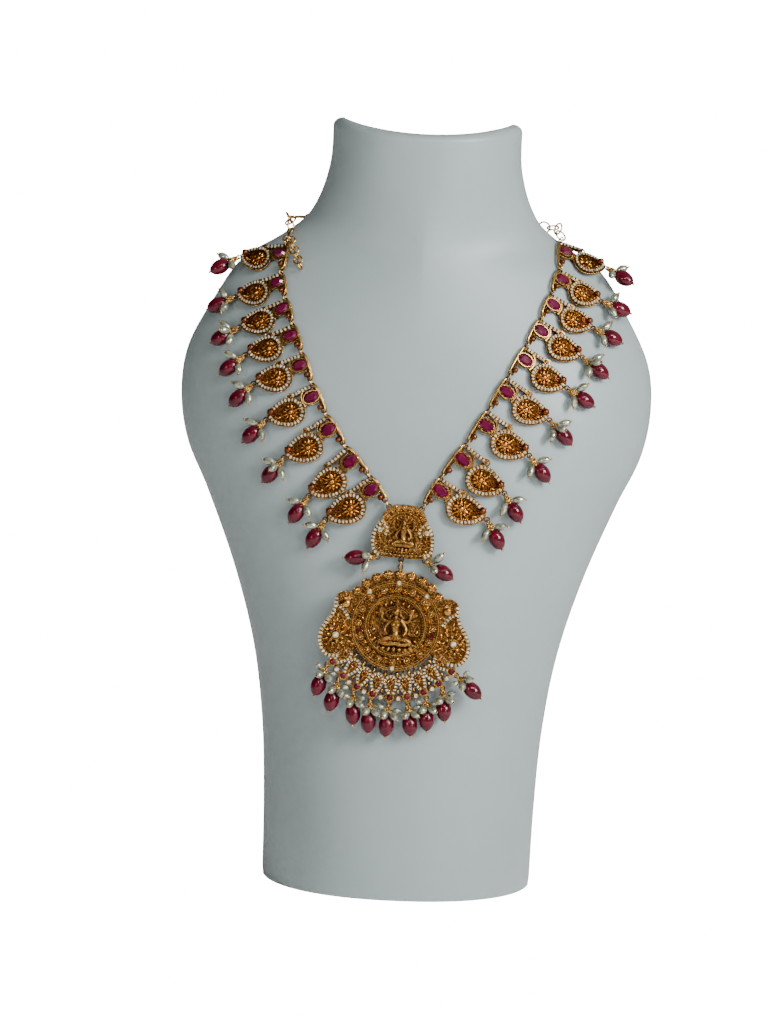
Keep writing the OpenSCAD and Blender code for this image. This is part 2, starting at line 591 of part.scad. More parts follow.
// A stone whose foot lies a seat gap above a height
module set_stone(w, h, on) {
    translate([0, 0, on + seat_gap + h * 0.4]) cut_stone(w, w, h, 10);
}
module pendant_white_stones() {
    color(CRYSTAL) in_disc() {
        for (a = RING_STONES) on_ring(disc_r - 1, a) set_stone(1.9, 1.2, ring_top);
        for (s = [-1, 1]) translate([s * disc_r * BIRD_EYE[0], disc_r * BIRD_EYE[1], 0])
            set_stone(2.8, 1.5, 2.4);
        for (k = [0.5:1:FRINGE - 1.5]) on_ring(cap_r + 0.5, fringe_turn(k)) set_stone(2, 1.2, 0.45);
    }
}
module pendant_red_stones() {
    color(RUBY) in_disc() {
        for (k = [0:FRINGE - 1]) on_ring(cap_r, fringe_turn(k)) translate([0, 0, 0.6 + seat_gap])
            rotate_extrude($fn = ROUND)
                polygon(concat([[0, 0]], [for (a = [0:15:90]) [1.3 * cos(a), 1.1 * sin(a)]]));
        for (a = RED_TURNS) on_ring((disc_r + halo_r) / 2 - 0.2, a) set_stone(2, 1.2, 1.6);
    }
}
module at_fringe(k) {
    in_disc() on_ring(drop_eye_r, fringe_turn(k))
        rotate([0, 0, FRINGE_TURNS[k] - 90]) rotate([0, -10, 0]) children();
}
module fringe_metal() { color(GOLD) for (k = [0:FRINGE - 1]) at_fringe(k) drop_metal(FRINGE_PEARLS); }
module fringe_rubies() { color(RUBY) for (k = [0:FRINGE - 1]) at_fringe(k) drop_ruby(); }
module fringe_pearls() { color(PEARL) for (k = [0:FRINGE - 1]) at_fringe(k) drop_pearls(FRINGE_PEARLS); }

// Chains of round links, every second one turned a quarter
link_pitch = 2 * link_r - 2 * link_wire - gap;
function path_length(path, i = 0) =
    i >= len(path) - 1 ? 0 : norm(path[i + 1] - path[i]) + path_length(path, i + 1);
function path_point(path, s, i = 0) =
    let (d = norm(path[i + 1] - path[i]))
    s <= d || i >= len(path) - 2 ? mix(path[i], path[i + 1], s / d) : path_point(path, s - d, i + 1);
// The hidden stretch leaves the top rings, passes the rear edges of the neck and sags across
chain_lift = link_r + link_wire + gap;
hook_l = 2.4;
hook_r = 1.15;
hook_reach = ring_r + hook_r * 2.8 + hook_l - 0.2;
hold = link_r * 0.55;
function upward(side) = -chain_way(side, 1);
function top_off(side) = skin_off(route(side)[0][0], route(side)[0][1]);
function chain_start(side) = joint(side, 0) + upward(side) * ((side == LEFT ? hook_reach : ring_r) + hold);
// A point round the rear edge of the neck, from beside it (0) to behind it (90)
function rear_edge(side, z, turn) =
    [side * (half_width(z) + 2.1 * chain_lift * cos(turn)), back_y + 1.5 * chain_lift * sin(turn), z];
nape_share = 0.865;
sag = 11.9;
function back_path() =
    let (z = bust_h * nape_share, from = rear_edge(LEFT, z, 90), to = rear_edge(RIGHT, z, 90))
    concat([chain_start(LEFT), chain_start(LEFT) + link_r / 2 * upward(LEFT)],
        [for (turn = [0, 45]) rear_edge(LEFT, z, turn)],
        [for (t = [0:0.1:1]) [mix(from[0], to[0], t), from[1], z - sag * 4 * t * (1 - t)]],
        [for (turn = [45, 0]) rear_edge(RIGHT, z, turn)],
        [chain_start(RIGHT) + link_r / 2 * upward(RIGHT), chain_start(RIGHT)]);
module chain_link(r, turned) {
    rotate([turned ? 90 : 0, 0, 0]) torus(r, link_wire);
}
module back_chain() {
    path = back_path();
    whole = path_length(path);
    spans = 2 * round((whole / link_pitch - 1) / 2) + 1;
    color(GOLD) for (k = [0:spans]) let (s = k * whole / spans) {
        way = path_point(path, s + 0.4) - path_point(path, max(0, s - 0.4));
        p = path_point(path, s);
        behind = k > 3 && k < spans - 3;
        multmatrix(placing(p, way, behind ? [0, 1, 0] : top_off(sign(p[0])))) chain_link(link_r, k % 2 == 0);
    }
}
module clasp_hook() {
    far = hook_r * 1.8 + hook_l - 0.2;
    color(GOLD) multmatrix(placing(joint(LEFT, 0) + ring_r * upward(LEFT), upward(LEFT), top_off(LEFT))) {
        torus(hook_r * 0.9, wire_r);
        translate([hook_r * 0.9, -0.45, -wire_r]) cube([hook_l, 0.9, 2 * wire_r]);
        translate([far, 0, 0]) wire_arc(hook_r, -150, 165, wire_r);
    }
}
// The free end hangs from the top ring on the left, forward over the shoulder
free_pitch = 2 * free_r - 2 * link_wire - gap;
free_lift = free_r + link_wire + gap;
function free_path() =
    let (top = joint(LEFT, 0), off = top_off(LEFT), inward = cross(off, chain_way(LEFT, 1)),
         start = top + (ring_r + 0.45) * off)
    [start, start + 1.5 * free_r * inward,
     over_skin(-50.5, 262, free_lift), over_skin(-49, 250, free_lift), over_skin(-49, 235, free_lift)];
module extender_chain() {
    path = free_path();
    color(GOLD) for (k = [0:free_rings - 1]) let (s = free_r * 0.55 + k * free_pitch) {
        p = path_point(path, s);
        way = path_point(path, s + 0.4) - path_point(path, s - 0.4);
        multmatrix(placing(p, way, skin_off(p[0], p[2]))) chain_link(free_r, k % 2 == 0);
    }
}

display_bust();
for (i = [1:UNITS]) {
    chain_unit(LEFT, i);
    chain_unit(RIGHT, i);
    unit_ruby(LEFT, i);
    unit_ruby(RIGHT, i);
}
chain_rings(LEFT);  // chain_rings_left
chain_rings(RIGHT);  // chain_rings_right
side_metal(LEFT);  // drop_metal_left
side_metal(RIGHT);  // drop_metal_right
side_rubies(LEFT);  // drop_rubies_left
side_rubies(RIGHT);  // drop_rubies_right
side_pearls(LEFT);  // drop_pearls_left
side_pearls(RIGHT);  // drop_pearls_right
plaque();
plaque_drop_metal();
plaque_drop_rubies();
plaque_drop_pearls();
pendant_link();
pendant_body();
pendant_white_stones();
pendant_red_stones();
fringe_metal();
fringe_rubies();
fringe_pearls();
back_chain();
clasp_hook();
extender_chain();
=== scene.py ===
"""Temple necklace on a neck bust: the finishes, relief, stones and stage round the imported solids."""

import math

import bpy
import numpy as np
from mathutils import Matrix, Vector


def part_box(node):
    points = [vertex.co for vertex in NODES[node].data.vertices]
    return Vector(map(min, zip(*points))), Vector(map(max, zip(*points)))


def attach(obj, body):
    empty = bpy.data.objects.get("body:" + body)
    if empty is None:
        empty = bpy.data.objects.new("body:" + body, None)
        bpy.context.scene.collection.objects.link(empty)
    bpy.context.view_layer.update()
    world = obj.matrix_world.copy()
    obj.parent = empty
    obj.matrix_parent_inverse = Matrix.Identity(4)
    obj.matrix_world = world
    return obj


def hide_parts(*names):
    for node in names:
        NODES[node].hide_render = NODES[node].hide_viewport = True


bl_info = {
    "name": "Temple Necklace",
    "version": (1, 0, 0),
    "blender": (4, 5, 0),
    "location": "View3D > Sidebar > Necklace",
    "description": "Models the relief, stones and finishes of a temple necklace on its bust",
    "category": "Add Mesh",
}

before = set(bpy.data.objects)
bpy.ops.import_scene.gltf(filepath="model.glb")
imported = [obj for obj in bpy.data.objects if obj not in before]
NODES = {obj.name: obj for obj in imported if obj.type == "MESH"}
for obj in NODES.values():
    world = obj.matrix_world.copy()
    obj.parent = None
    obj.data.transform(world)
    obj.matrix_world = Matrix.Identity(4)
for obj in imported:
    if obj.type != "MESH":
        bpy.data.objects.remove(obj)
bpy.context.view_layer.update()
MM = 0.001
LEFT, RIGHT = -1, 1
SIDES = {"left": LEFT, "right": RIGHT}
UNITS = 9

BUST_LOW, BUST_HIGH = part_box("display_bust")
BUST_SIZE = [high - low for low, high in zip(BUST_LOW, BUST_HIGH)]


# ---------------------------------------------------------------- sizes and colours
def number_setting(name, text, value, **kind):
    return bpy.props.FloatProperty(name=name, description=text, default=value, **kind)


def length_setting(name, text, millimetres):
    return number_setting(name, text, millimetres * MM, unit="LENGTH", min=0)


def turn_setting(name, text, degrees):
    return number_setting(name, text, math.radians(degrees), subtype="ANGLE")


def power_setting(name, text, watts):
    return number_setting(name, text, watts, unit="POWER")


def colour_setting(name, text, colour):
    return bpy.props.FloatVectorProperty(
        name=name, description=text, default=colour, subtype="COLOR", size=3, min=0, max=1)


class BustSizes(bpy.types.PropertyGroup):
    """Sizes of the display bust"""
    width: length_setting("Width", "Width of the bust across the shoulders", BUST_SIZE[0] / MM)
    height: length_setting("Height", "Height of the bust", BUST_SIZE[2] / MM)
    depth: length_setting("Depth", "Depth of the bust at its base", BUST_SIZE[1] / MM)
    wall: length_setting("Wall", "Thickness of the half shell", 3)
    foot_corner: length_setting("Foot corner", "Radius of the rounded lower corners", 10)
    neck_corner: length_setting("Neck corner", "Radius of the rounded upper corners", 5)
    neck_dip: length_setting("Neck dip", "How far the neck's rim sinks at the front", 3.5)
    neck_roll: length_setting("Neck roll", "Radius with which the neck's rim rolls back", 4)


class OrnamentSizes(bpy.types.PropertyGroup):
    """Sizes of the stones and granules"""
    border_stone: length_setting("Border stone", "Diameter of a white stone of a mango's border", 1.45)
    bar_stone: length_setting("Bar stone", "Diameter of a white stone of a unit's bar", 1.5)
    edge_stone: length_setting("Edge stone", "Diameter of a white stone of a pendant's edge", 1.5)
    fringe_stone: length_setting("Fringe stone", "Diameter of a white stone of the fringe's arches", 1.2)
    granule: length_setting("Granule", "Radius of a soldered granule", 0.34)
    prong: length_setting("Prong", "Radius of a stone's prong", 0.24)


class FinishColours(bpy.types.PropertyGroup):
    """Colours of the finishes"""
    gold_light: colour_setting("Gold, raised", "Colour of the rubbed, raised gold", (0.60, 0.31, 0.075))
    gold_dark: colour_setting("Gold, recessed", "Colour of the gold in the recesses", (0.05, 0.016, 0.003))
    orange_gold: colour_setting("Mango gold", "Colour of the relief in the mangoes", (0.46, 0.185, 0.038))
    wire_gold: colour_setting("Wire gold", "Colour of rings, eyes and chain", (0.60, 0.36, 0.11))
    curl_gold: colour_setting("Curl gold", "Colour of the dark curls and balls", (0.26, 0.075, 0.025))
    drop_red: colour_setting("Ruby drop", "Colour of the ruby drops", (0.046, 0.0002, 0.0045))
    chain_red: colour_setting("Chain ruby", "Colour of the oval stones of the chain", (0.056, 0.0003, 0.014))
    white_stone: colour_setting("White stone", "Colour of the white stones", (0.82, 0.72, 0.46))
    pearl: colour_setting("Pearl", "Colour of the rice pearls", (0.34, 0.35, 0.25))
    resin: colour_setting("Bust", "Colour of the bust", (0.222, 0.264, 0.262))


class StageSettings(bpy.types.PropertyGroup):
    """Camera and light"""
    distance: length_setting("Camera distance", "Distance from the camera to the bust", 3000)
    view_height: length_setting("View height", "Height that the picture takes in", 431.1)
    elevation: turn_setting("Elevation", "How far the camera looks down", 8)
    roll: turn_setting("Roll", "Turn of the object in the picture, clockwise", 2.47)
    key_power: power_setting("Key light", "Power of the key light", 34)
    fill_power: power_setting("Fill light", "Power of the fill light", 0.3)
    glint_power: power_setting("Glints", "Power of each small light that makes the metal glitter", 3.4)
    strip_power: power_setting("Strip", "Power of the overhead strip light", 4.5)
    sky: number_setting("Sky", "Strength of the white surroundings", 0.25)
    backdrop: number_setting("Backdrop", "Brightness of the backdrop as seen", 18)


# ---------------------------------------------------------------- the necklace's layout, in millimetres
# Columns: height share, half-width share, depth share, power of the plan
SECTIONS = np.array((
    (0.0000, 0.573, 1.000, 2.20), (0.1015, 0.580, 1.000, 2.20), (0.2030, 0.600, 0.990, 2.20),
    (0.3046, 0.650, 0.975, 2.20), (0.4060, 0.745, 0.950, 2.20), (0.5077, 0.875, 0.910, 2.20),
    (0.5686, 0.965, 0.870, 2.10), (0.6295, 1.000, 0.820, 2.00), (0.6905, 0.980, 0.750, 1.85),
    (0.7514, 0.885, 0.670, 1.60), (0.8123, 0.755, 0.585, 1.40), (0.8428, 0.600, 0.550, 1.40),
    (0.8732, 0.485, 0.535, 1.60), (0.9342, 0.410, 0.535, 2.00), (1.0000, 0.400, 0.550, 2.00)))
# Jump rings of each side, from the neck down: across, height
ROUTES = {
    LEFT: ((-56.5, 270), (-58.5, 259), (-56.5, 249), (-53, 239), (-48.7, 228), (-44, 216), (-37.5, 203.5),
           (-29, 191), (-18.5, 179.5)),
    RIGHT: ((57, 275), (57.5, 265), (54.5, 255.5), (50.5, 245.5), (45, 234.5), (38, 222), (30.5, 208.5),
            (22, 194.5), (12, 180.5)),
}
# Drops of each side: turn towards the outside, number of pearls
DROPS = {
    LEFT: ((46, 2), (46, 2), (44, 3), (38, 2), (34, 2), (34, 2), (30, 3), (26, 2), (24, 2)),
    RIGHT: ((48, 2), (54, 2), (50, 2), (42, 3), (48, 2), (36, 3), (32, 2), (26, 2), (24, 2)),
}
# Drops of the fringe: step between them round the disc, and the turn of each from straight outward
FRINGE_STEP = 13.8
FRINGE_TURNS = (-18, -14, 4, 0, -2, 10, 6, 8, 52)
# Drops at the plaque's corners: side, turn
CORNER_DROPS = ((LEFT, -84), (RIGHT, 62))
BUST_W, BUST_H, BASE_DEPTH, SHELL_WALL = 200.0, 325.0, 60.0, 3.0
WIRE_R, EYE_R, RING_R, GAP = 0.3, 0.95, 1.6, 0.25
OVAL_L, OVAL_W = 7.0, 4.7
MANGO_R, MANGO_REACH, MANGO_BEND = 6.4, 4.1, 1.9
SMALL_SHARE = 0.84
DROP_L, DROP_D, PEARL_L, CLUSTER_R = 9.0, 6.0, 5.4, 1.35
# The ring between the pendants: across, height and tilt
HANG_X, HANG_Z, HANG_TILT = -3.6, 143.5, math.radians(2.4)
DISC_R, HALO_R, PLATE_T, PLAQUE_W, PLAQUE_H = 19.0, 12.4, 1.6, 26.6, 22.0
BACK_Y = BASE_DEPTH - SHELL_WALL / 2
FACE = PLATE_T / 2
FRINGE_R = DISC_R + 6.4
CAP_R = FRINGE_R + 5
DROP_EYE_R = CAP_R + 2.7


def unit_vector(v):
    return v / np.linalg.norm(v)


# Slope of each column of SECTIONS over the height, from the neighbours of each row
ENDS_TWICE = np.vstack((SECTIONS[:1], SECTIONS, SECTIONS[-1:]))
SPANS = ENDS_TWICE[2:] - ENDS_TWICE[:-2]
SLOPES = SPANS[:, 1:] / SPANS[:, :1]


def section(z):
    """Half width, depth and plan power of the bust at a height, as smooth curves through SECTIONS"""
    s = min(1.0, max(0.0, z / BUST_H))
    i = min(int(np.searchsorted(SECTIONS[:, 0], s, side="right")) - 1, len(SECTIONS) - 2)
    a, b = SECTIONS[i], SECTIONS[i + 1]
    h = b[0] - a[0]
    t = (s - a[0]) / h
    share = ((2 * t**3 - 3 * t**2 + 1) * a[1:] + (t**3 - 2 * t**2 + t) * h * SLOPES[i]
             + (3 * t**2 - 2 * t**3) * b[1:] + (t**3 - t**2) * h * SLOPES[i + 1])
    return share[0] * BUST_W / 2, share[1] * BASE_DEPTH, share[2]


def skin(x, z):
    """The point of the bust's outer surface at a place across and a height"""
    half, depth, power = section(z)
    q = min(1.0, abs(x) / half)
    return np.array((x, BACK_Y - depth * (1 - q**power) ** (1 / power), z))


def skin_off(x, z, e=0.5):
    """The direction straight off the bust"""
    dx = (skin(x + e, z)[1] - skin(x - e, z)[1]) / (2 * e)
    dz = (skin(x, z + e)[1] - skin(x, z - e)[1]) / (2 * e)
    return unit_vector(np.array((dx, -1.0, dz)))


def over_skin(x, z, lift):
    return skin(x, z) + lift * skin_off(x, z)


def placing(origin, along, off):
    """A place with X along one direction and Z as near as can be to another"""
    x = unit_vector(along)
    z = unit_vector(off - np.dot(off, x) * x)
    place = np.eye(4)
    place[:3, 0], place[:3, 1], place[:3, 2], place[:3, 3] = x, np.cross(z, x), z, origin
    return place


def shift(x, y, z=0.0):
    place = np.eye(4)
    place[:3, 3] = x, y, z
    return place


def turned(degrees, axis="Z"):
    return np.array(Matrix.Rotation(math.radians(degrees), 4, axis))


def sized(x, y=None, z=None):
    return np.diag((x, x if y is None else y, x if z is None else z, 1.0))


def moved(place, x, y):
    return (place @ np.array((x, y, 0, 1)))[:3]


HANG_POINT = over_skin(HANG_X, HANG_Z, RING_R + WIRE_R + GAP + 0.5)
HANG = placing(HANG_POINT, np.array((math.cos(HANG_TILT), 0, -math.sin(HANG_TILT))),
               skin_off(HANG_X, HANG_Z - DISC_R))
PLATE_DROP = RING_R + WIRE_R + 3 * GAP
DISC = HANG @ shift(0, -(PLATE_DROP + DISC_R + 4.5))
PLAQUE_Y = PLATE_DROP + PLAQUE_H / 2
CORNER_EYE = (PLAQUE_W * 0.26, PLAQUE_Y + PLAQUE_H * 0.41 + EYE_R * 0.8)
FOOT_EYE = (PLAQUE_W * 0.37, PLAQUE_Y - PLAQUE_H / 2 - EYE_R * 0.75)
RING_LIFT = RING_R + WIRE_R + GAP


def joint(side, k):
    """Middle of a jump ring, counted from the neck; the last one holds the plaque"""
    if k < UNITS:
        return over_skin(*ROUTES[side][k], RING_LIFT)
    eye = moved(HANG, side * CORNER_EYE[0], CORNER_EYE[1])
    return eye + RING_R * unit_vector(joint(side, UNITS - 1) - eye)


def pitch(side, i):
    return np.linalg.norm(joint(side, i) - joint(side, i - 1))


def grade(i):
    """Share of the full size that a unit has; it grows down the chain"""
    return SMALL_SHARE + (1 - SMALL_SHARE) * (i - 1) / (UNITS - 1)


def oval_at(side, i):
    return pitch(side, i) * 0.4, 2.4 * grade(i)


def mango_at(side, i):
    return pitch(side, i) * 0.52, (2.4 + OVAL_L / 2 + 1.7 + MANGO_R) * grade(i)


def unit_frame(side, i):
    """Place of a chain unit: X down the chain, Y outward, Z off the bust"""
    start = joint(side, i - 1)
    way = unit_vector(joint(side, i) - start)
    off = skin_off(*ROUTES[side][i - 1])
    out = unit_vector(side * np.cross(off, way))
    along, across = mango_at(side, i)
    guess = start + along * way + across * out
    rest = over_skin(guess[0], guess[2], RING_LIFT)
    return placing(start, way, side * np.cross(way, rest - start)) @ sized(1, side, 1)


def mango_outline(grow, r=MANGO_R, reach=MANGO_REACH, bend=MANGO_BEND):
    """A round that is drawn to a bent tip along Y, grown by a margin"""
    a = np.linspace(0, 2 * math.pi, 240, endpoint=False)
    pull = ((1 + np.cos(a)) / 2) ** 4
    reach += grow * 0.5
    return np.column_stack(((r + grow) * np.sin(a) - pull * bend, (r + grow) * np.cos(a) + pull * reach))


def spaced(points, step, closed=True):
    """Points at even steps along a line, each with the direction of the line there"""
    line = np.vstack((points, points[:1])) if closed else np.asarray(points, float)
    lengths = np.linalg.norm(np.diff(line, axis=0), axis=1)
    whole = lengths.sum()
    count = max(2, round(whole / step))
    runs = np.concatenate(((0,), np.cumsum(lengths)))
    places = np.arange(count) * whole / count if closed else np.linspace(0, whole, count + 1)
    found = []
    for s in places:
        i = min(int(np.searchsorted(runs, s, side="right")) - 1, len(lengths) - 1)
        share = (s - runs[i]) / lengths[i]
        found.append((line[i] + (line[i + 1] - line[i]) * share, (line[i + 1] - line[i]) / lengths[i]))
    return found


def tip_eye(side, i):
    g = grade(i)
    m = mango_at(side, i)
    return moved(unit_frame(side, i), m[0] - MANGO_BEND * g, m[1] + (MANGO_R + MANGO_REACH) * g + EYE_R + 0.2)


CLUSTER_AT = 2 * RING_R * 0.62 + CLUSTER_R
RUBY_AT = CLUSTER_AT + CLUSTER_R + GAP + DROP_L / 2
DROP_LIFT = DROP_D / 2 + GAP


def drop_frame(side, i):
    """Place of a drop under a mango: X down the drop from its eye, Z off the bust"""
    eye = tip_eye(side, i)
    turn = math.radians(DROPS[side][i - 1][0])
    reach = abs(eye[0]) + RUBY_AT * math.sin(turn)
    z = eye[2] - RUBY_AT * math.cos(turn)
    x = side * min(reach, section(z)[0] * 0.94)
    off = skin_off(x, z)
    rest = skin(x, z) + np.array((side * (reach - abs(x)), 0, 0)) + DROP_LIFT * 1.1 * off
    return placing(eye, rest - eye, off)


def fringe_turn(k):
    return (k - (UNITS - 1) / 2) * FRINGE_STEP


def on_ring(r, degrees):
    a = math.radians(degrees)
    return shift(r * math.sin(a), -r * math.cos(a))


def fringe_frame(k):
    return DISC @ on_ring(DROP_EYE_R, fringe_turn(k)) @ turned(FRINGE_TURNS[k] - 90) @ turned(-10, "Y")


def corner_frame(side, turn):
    return HANG @ shift(side * FOOT_EYE[0], FOOT_EYE[1]) @ turned(turn - 90) @ turned(-4, "Y")


# ---------------------------------------------------------------- small shapes, modelled once and copied
def select_only(*objects):
    bpy.ops.object.select_all(action="DESELECT")
    for one in objects:
        one.select_set(True)
    bpy.context.view_layer.objects.active = objects[-1] if objects else None


def taken():
    """The active object's points and faces, kept as a shape to copy"""
    made = bpy.context.active_object
    points = np.array([v.co for v in made.data.vertices])
    faces = [tuple(f.vertices) for f in made.data.polygons]
    bpy.data.objects.remove(made)
    return points, faces


def face_outward():
    """All faces of the active object turn outward"""
    bpy.ops.object.mode_set(mode="EDIT")
    bpy.ops.mesh.select_all(action="SELECT")
    bpy.ops.mesh.normals_make_consistent(inside=False)
    bpy.ops.object.mode_set(mode="OBJECT")


def pick_faces(test):
    """In edit mode, only the faces that pass a test of their normal and middle are selected"""
    bpy.ops.object.mode_set(mode="OBJECT")
    for face in bpy.context.active_object.data.polygons:
        face.select = bool(test(face.normal, face.center))
    bpy.ops.object.mode_set(mode="EDIT")
    bpy.ops.mesh.select_mode(type="FACE")


def grow_faces(rise, share):
    """The selected faces are pulled out and scaled about their own middle"""
    bpy.ops.mesh.extrude_region_move(TRANSFORM_OT_translate={"value": (0, 0, rise)})
    bpy.ops.transform.resize(value=(share, share, 1))


PETAL_HALF_W, PETAL_H = 0.34, 0.3


def bead_shape(segments, rings):
    bpy.ops.mesh.primitive_uv_sphere_add(segments=segments, ring_count=rings, radius=1)
    return taken()


def stone_shape():
    """A cut stone of unit radius, its foot at 0: flat foot, pavilion, girdle, crown and table"""
    bpy.ops.mesh.primitive_cylinder_add(vertices=8, radius=1, depth=0.12, location=(0, 0, 0.5))
    bpy.ops.object.transform_apply(location=True)
    pick_faces(lambda n, c: n[2] > 0.9)
    grow_faces(0.36, 0.62)
    pick_faces(lambda n, c: n[2] < -0.9)
    grow_faces(-0.44, 0.55)
    bpy.ops.object.mode_set(mode="OBJECT")
    return taken()


def petal_shape():
    """A raised petal along X from 0 to 1, pointed at its far end, with a ridge"""
    points, faces = bead_shape(10, 6)
    x, y, z = (points[:, 0] + 1) / 2, points[:, 1], points[:, 2]
    drawn = np.sqrt(np.clip(1 - ((x - 0.45) / 0.56) ** 2, 0, 1)) * (1.25 - 0.5 * x)
    wide = y * PETAL_HALF_W * np.where(x > 0.45, drawn, 1)
    return np.column_stack((x, wide, z * PETAL_H * (1 - 0.45 * np.abs(y)))), faces


def collar_shape():
    bpy.ops.mesh.primitive_torus_add(major_radius=1, minor_radius=0.3, major_segments=12, minor_segments=6)
    return taken()


SHAPES = {}


def model_shapes():
    select_only()
    SHAPES.update(
        granule=bead_shape(6, 4), bead=bead_shape(10, 7), ball=bead_shape(18, 12),
        stone=stone_shape(), petal=petal_shape(), collar=collar_shape())


class Pile:
    """Copies of small shapes and lengths of wire, gathered into one mesh, in millimetres"""

    def __init__(self):
        self.points, self.faces, self.total = [], [], 0

    def add(self, shape, place):
        points, faces = SHAPES[shape] if isinstance(shape, str) else shape
        self.points.append(points @ place[:3, :3].T + place[:3, 3])
        step = -1 if np.linalg.det(place[:3, :3]) < 0 else 1
        self.faces.extend(tuple(i + self.total for i in face[::step]) for face in faces)
        self.total += len(points)

    def wire(self, place, path, radius, closed=False, sides=6, flat=1.0):
        """A round or flattened wire along a path; its radius may change along it"""
        path = np.asarray(path, float)
        if path.shape[1] == 2:
            path = np.column_stack((path, np.zeros(len(path))))
        radii = np.broadcast_to(radius, len(path))
        if closed:
            ways = np.roll(path, -1, 0) - np.roll(path, 1, 0)
        else:
            ways = np.gradient(path, axis=0)
        rings = []
        for p, way, r in zip(path, ways, radii):
            way = unit_vector(way)
            across = np.cross((0, 0, 1.0), way)
            across = unit_vector(across) if np.linalg.norm(across) > 1e-6 else np.array((1.0, 0, 0))
            up = np.cross(way, across)
            for k in range(sides):
                a = 2 * math.pi * k / sides
                rings.append(p + r * (math.cos(a) * across + flat * math.sin(a) * up))
        count = len(path)
        faces = []
        for j in range(count if closed else count - 1):
            n = (j + 1) % count
            for k in range(sides):
                m = (k + 1) % sides
                faces.append((j * sides + k, j * sides + m, n * sides + m, n * sides + k))
        if not closed:
            faces.append(tuple(range(sides - 1, -1, -1)))
            faces.append(tuple(range((count - 1) * sides, count * sides)))
        self.add((np.array(rings), faces), place)

    def piece(self, name, finish, body, slot, smooth=40):
        """The pile becomes an object; edges flatter than the given angle are smooth"""
        mesh = bpy.data.meshes.new(name)
        mesh.from_pydata((np.vstack(self.points) * MM).tolist(), [], self.faces)
        mesh.materials.append(FINISHES[finish])
        made = bpy.data.objects.new(name, mesh)
        bpy.context.scene.collection.objects.link(made)
        select_only(made)
        face_outward()
        if smooth:
            bpy.ops.object.shade_smooth_by_angle(angle=math.radians(smooth))
        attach(made, body)
        return made


def spiral(r_from, r_to, start, end, count, x=0.0, y=0.0, z=0.0):
    turns = np.radians(np.linspace(start, end, count))
    radii = np.linspace(r_from, r_to, count)
    return np.column_stack((x + radii * np.cos(turns), y + radii * np.sin(turns), np.full(count, z)))


def arc(r, start, end, count=24, x=0.0, y=0.0, z=0.0):
    return spiral(r, r, start, end, count, x, y, z)


def curved(points, steps=6, closed=False):
    """A smooth line through a few points"""
    p = np.asarray(points, float)
    count = len(p)
    found = []
    for i in range(count if closed else count - 1):
        near = range(i - 1, i + 3)
        a, b, c, d = (p[k % count] if closed else p[min(max(k, 0), count - 1)] for k in near)
        for t in np.linspace(0, 1, steps, endpoint=False):
            found.append(0.5 * (2 * b + (c - a) * t + (2 * a - 5 * b + 4 * c - d) * t**2
                                + (3 * b - a - 3 * c + d) * t**3))
    if not closed:
        found.append(p[-1])
    return np.array(found)


# ---------------------------------------------------------------- finishes
WHITE = (1.0, 1.0, 1.0, 1.0)
# Metals: raised colour and its share, recessed colour and its share, grain's scale, patina, bump's depth in
# metres and strength
METALS = {
    "relief gold": ("gold_light", 1.0, "gold_dark", 2.2, 800.0, 0.2, 0.00005, 0.15),
    "figure gold": ("gold_light", 0.78, "gold_dark", 1.5, 900.0, 0.42, 0.0001, 0.4),
    "plate gold": ("gold_light", 0.7, "gold_dark", 1.0, 1100.0, 0.72, 0.0004, 0.9),
    "mango gold": ("orange_gold", 1.0, "gold_dark", 2.2, 800.0, 0.2, 0.00005, 0.15),
    "mango plate": ("orange_gold", 0.55, "gold_dark", 1.0, 1100.0, 0.7, 0.0004, 0.8),
    "bright gold": ("wire_gold", 1.0, "gold_dark", 2.5, 900.0, 0.25, 0.00005, 0.3),
    "wire gold": ("wire_gold", 1.0, "wire_gold", 0.5, 500.0, 0.2, 0.00003, 0.25),
    "dark gold": ("curl_gold", 1.0, "curl_gold", 0.2, 1100.0, 0.45, 0.00008, 0.35),
}
# Stones, pearls and plastic: colour, second colour or its share of the first, scale, roughness, bump's depth
# and strength, values of the shader
BODIES = {
    "drop red": ("drop_red", 1.7, 260.0, 0.06, 0.0001, 0.05,
                 {"Coat Weight": 0.15, "Coat Roughness": 0.04, "Specular IOR Level": 0.25}),
    "chain red": ("chain_red", 1.7, 340.0, 0.03, 0.0001, 0.03,
                  {"Coat Weight": 0.3, "Coat Roughness": 0.02, "Specular IOR Level": 0.3, "IOR": 1.6}),
    "white stone": ("white_stone", (0.15, 0.115, 0.055), 900.0, 0.02, 0.00005, 0.05,
                    {"Coat Weight": 1.0, "Coat Roughness": 0.02, "Specular IOR Level": 1.0, "IOR": 2.1}),
    "pearl": ("pearl", (0.13, 0.135, 0.09), 420.0, 0.08, 0.0002, 0.12,
              {"Coat Weight": 1.0, "Coat Roughness": 0.05, "Specular IOR Level": 0.7, "Metallic": 0.55}),
    "bust resin": ("resin", 1.05, 14.0, 0.34, 0.0006, 0.04,
                   {"Coat Weight": 0.06, "Coat Roughness": 0.4, "Specular IOR Level": 0.3}),
}
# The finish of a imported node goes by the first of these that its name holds
NODE_FINISHES = (
    ("ruby_", "chain red"), ("unit_", "mango plate"), ("rubies", "drop red"), ("red_stones", "drop red"),
    ("pearls", "pearl"), ("white_stones", "white stone"), ("chain", "wire gold"), ("clasp", "wire gold"),
    ("link", "wire gold"), ("metal", "bright gold"), ("bust", "bust resin"))
FINISHES = {}


def feed(tree, made, inputs):
    """Each input, by name or place, gets a value or the socket that feeds it"""
    for key, value in inputs.items():
        if isinstance(value, bpy.types.NodeSocket):
            tree.links.new(value, made.inputs[key])
        else:
            made.inputs[key].default_value = value


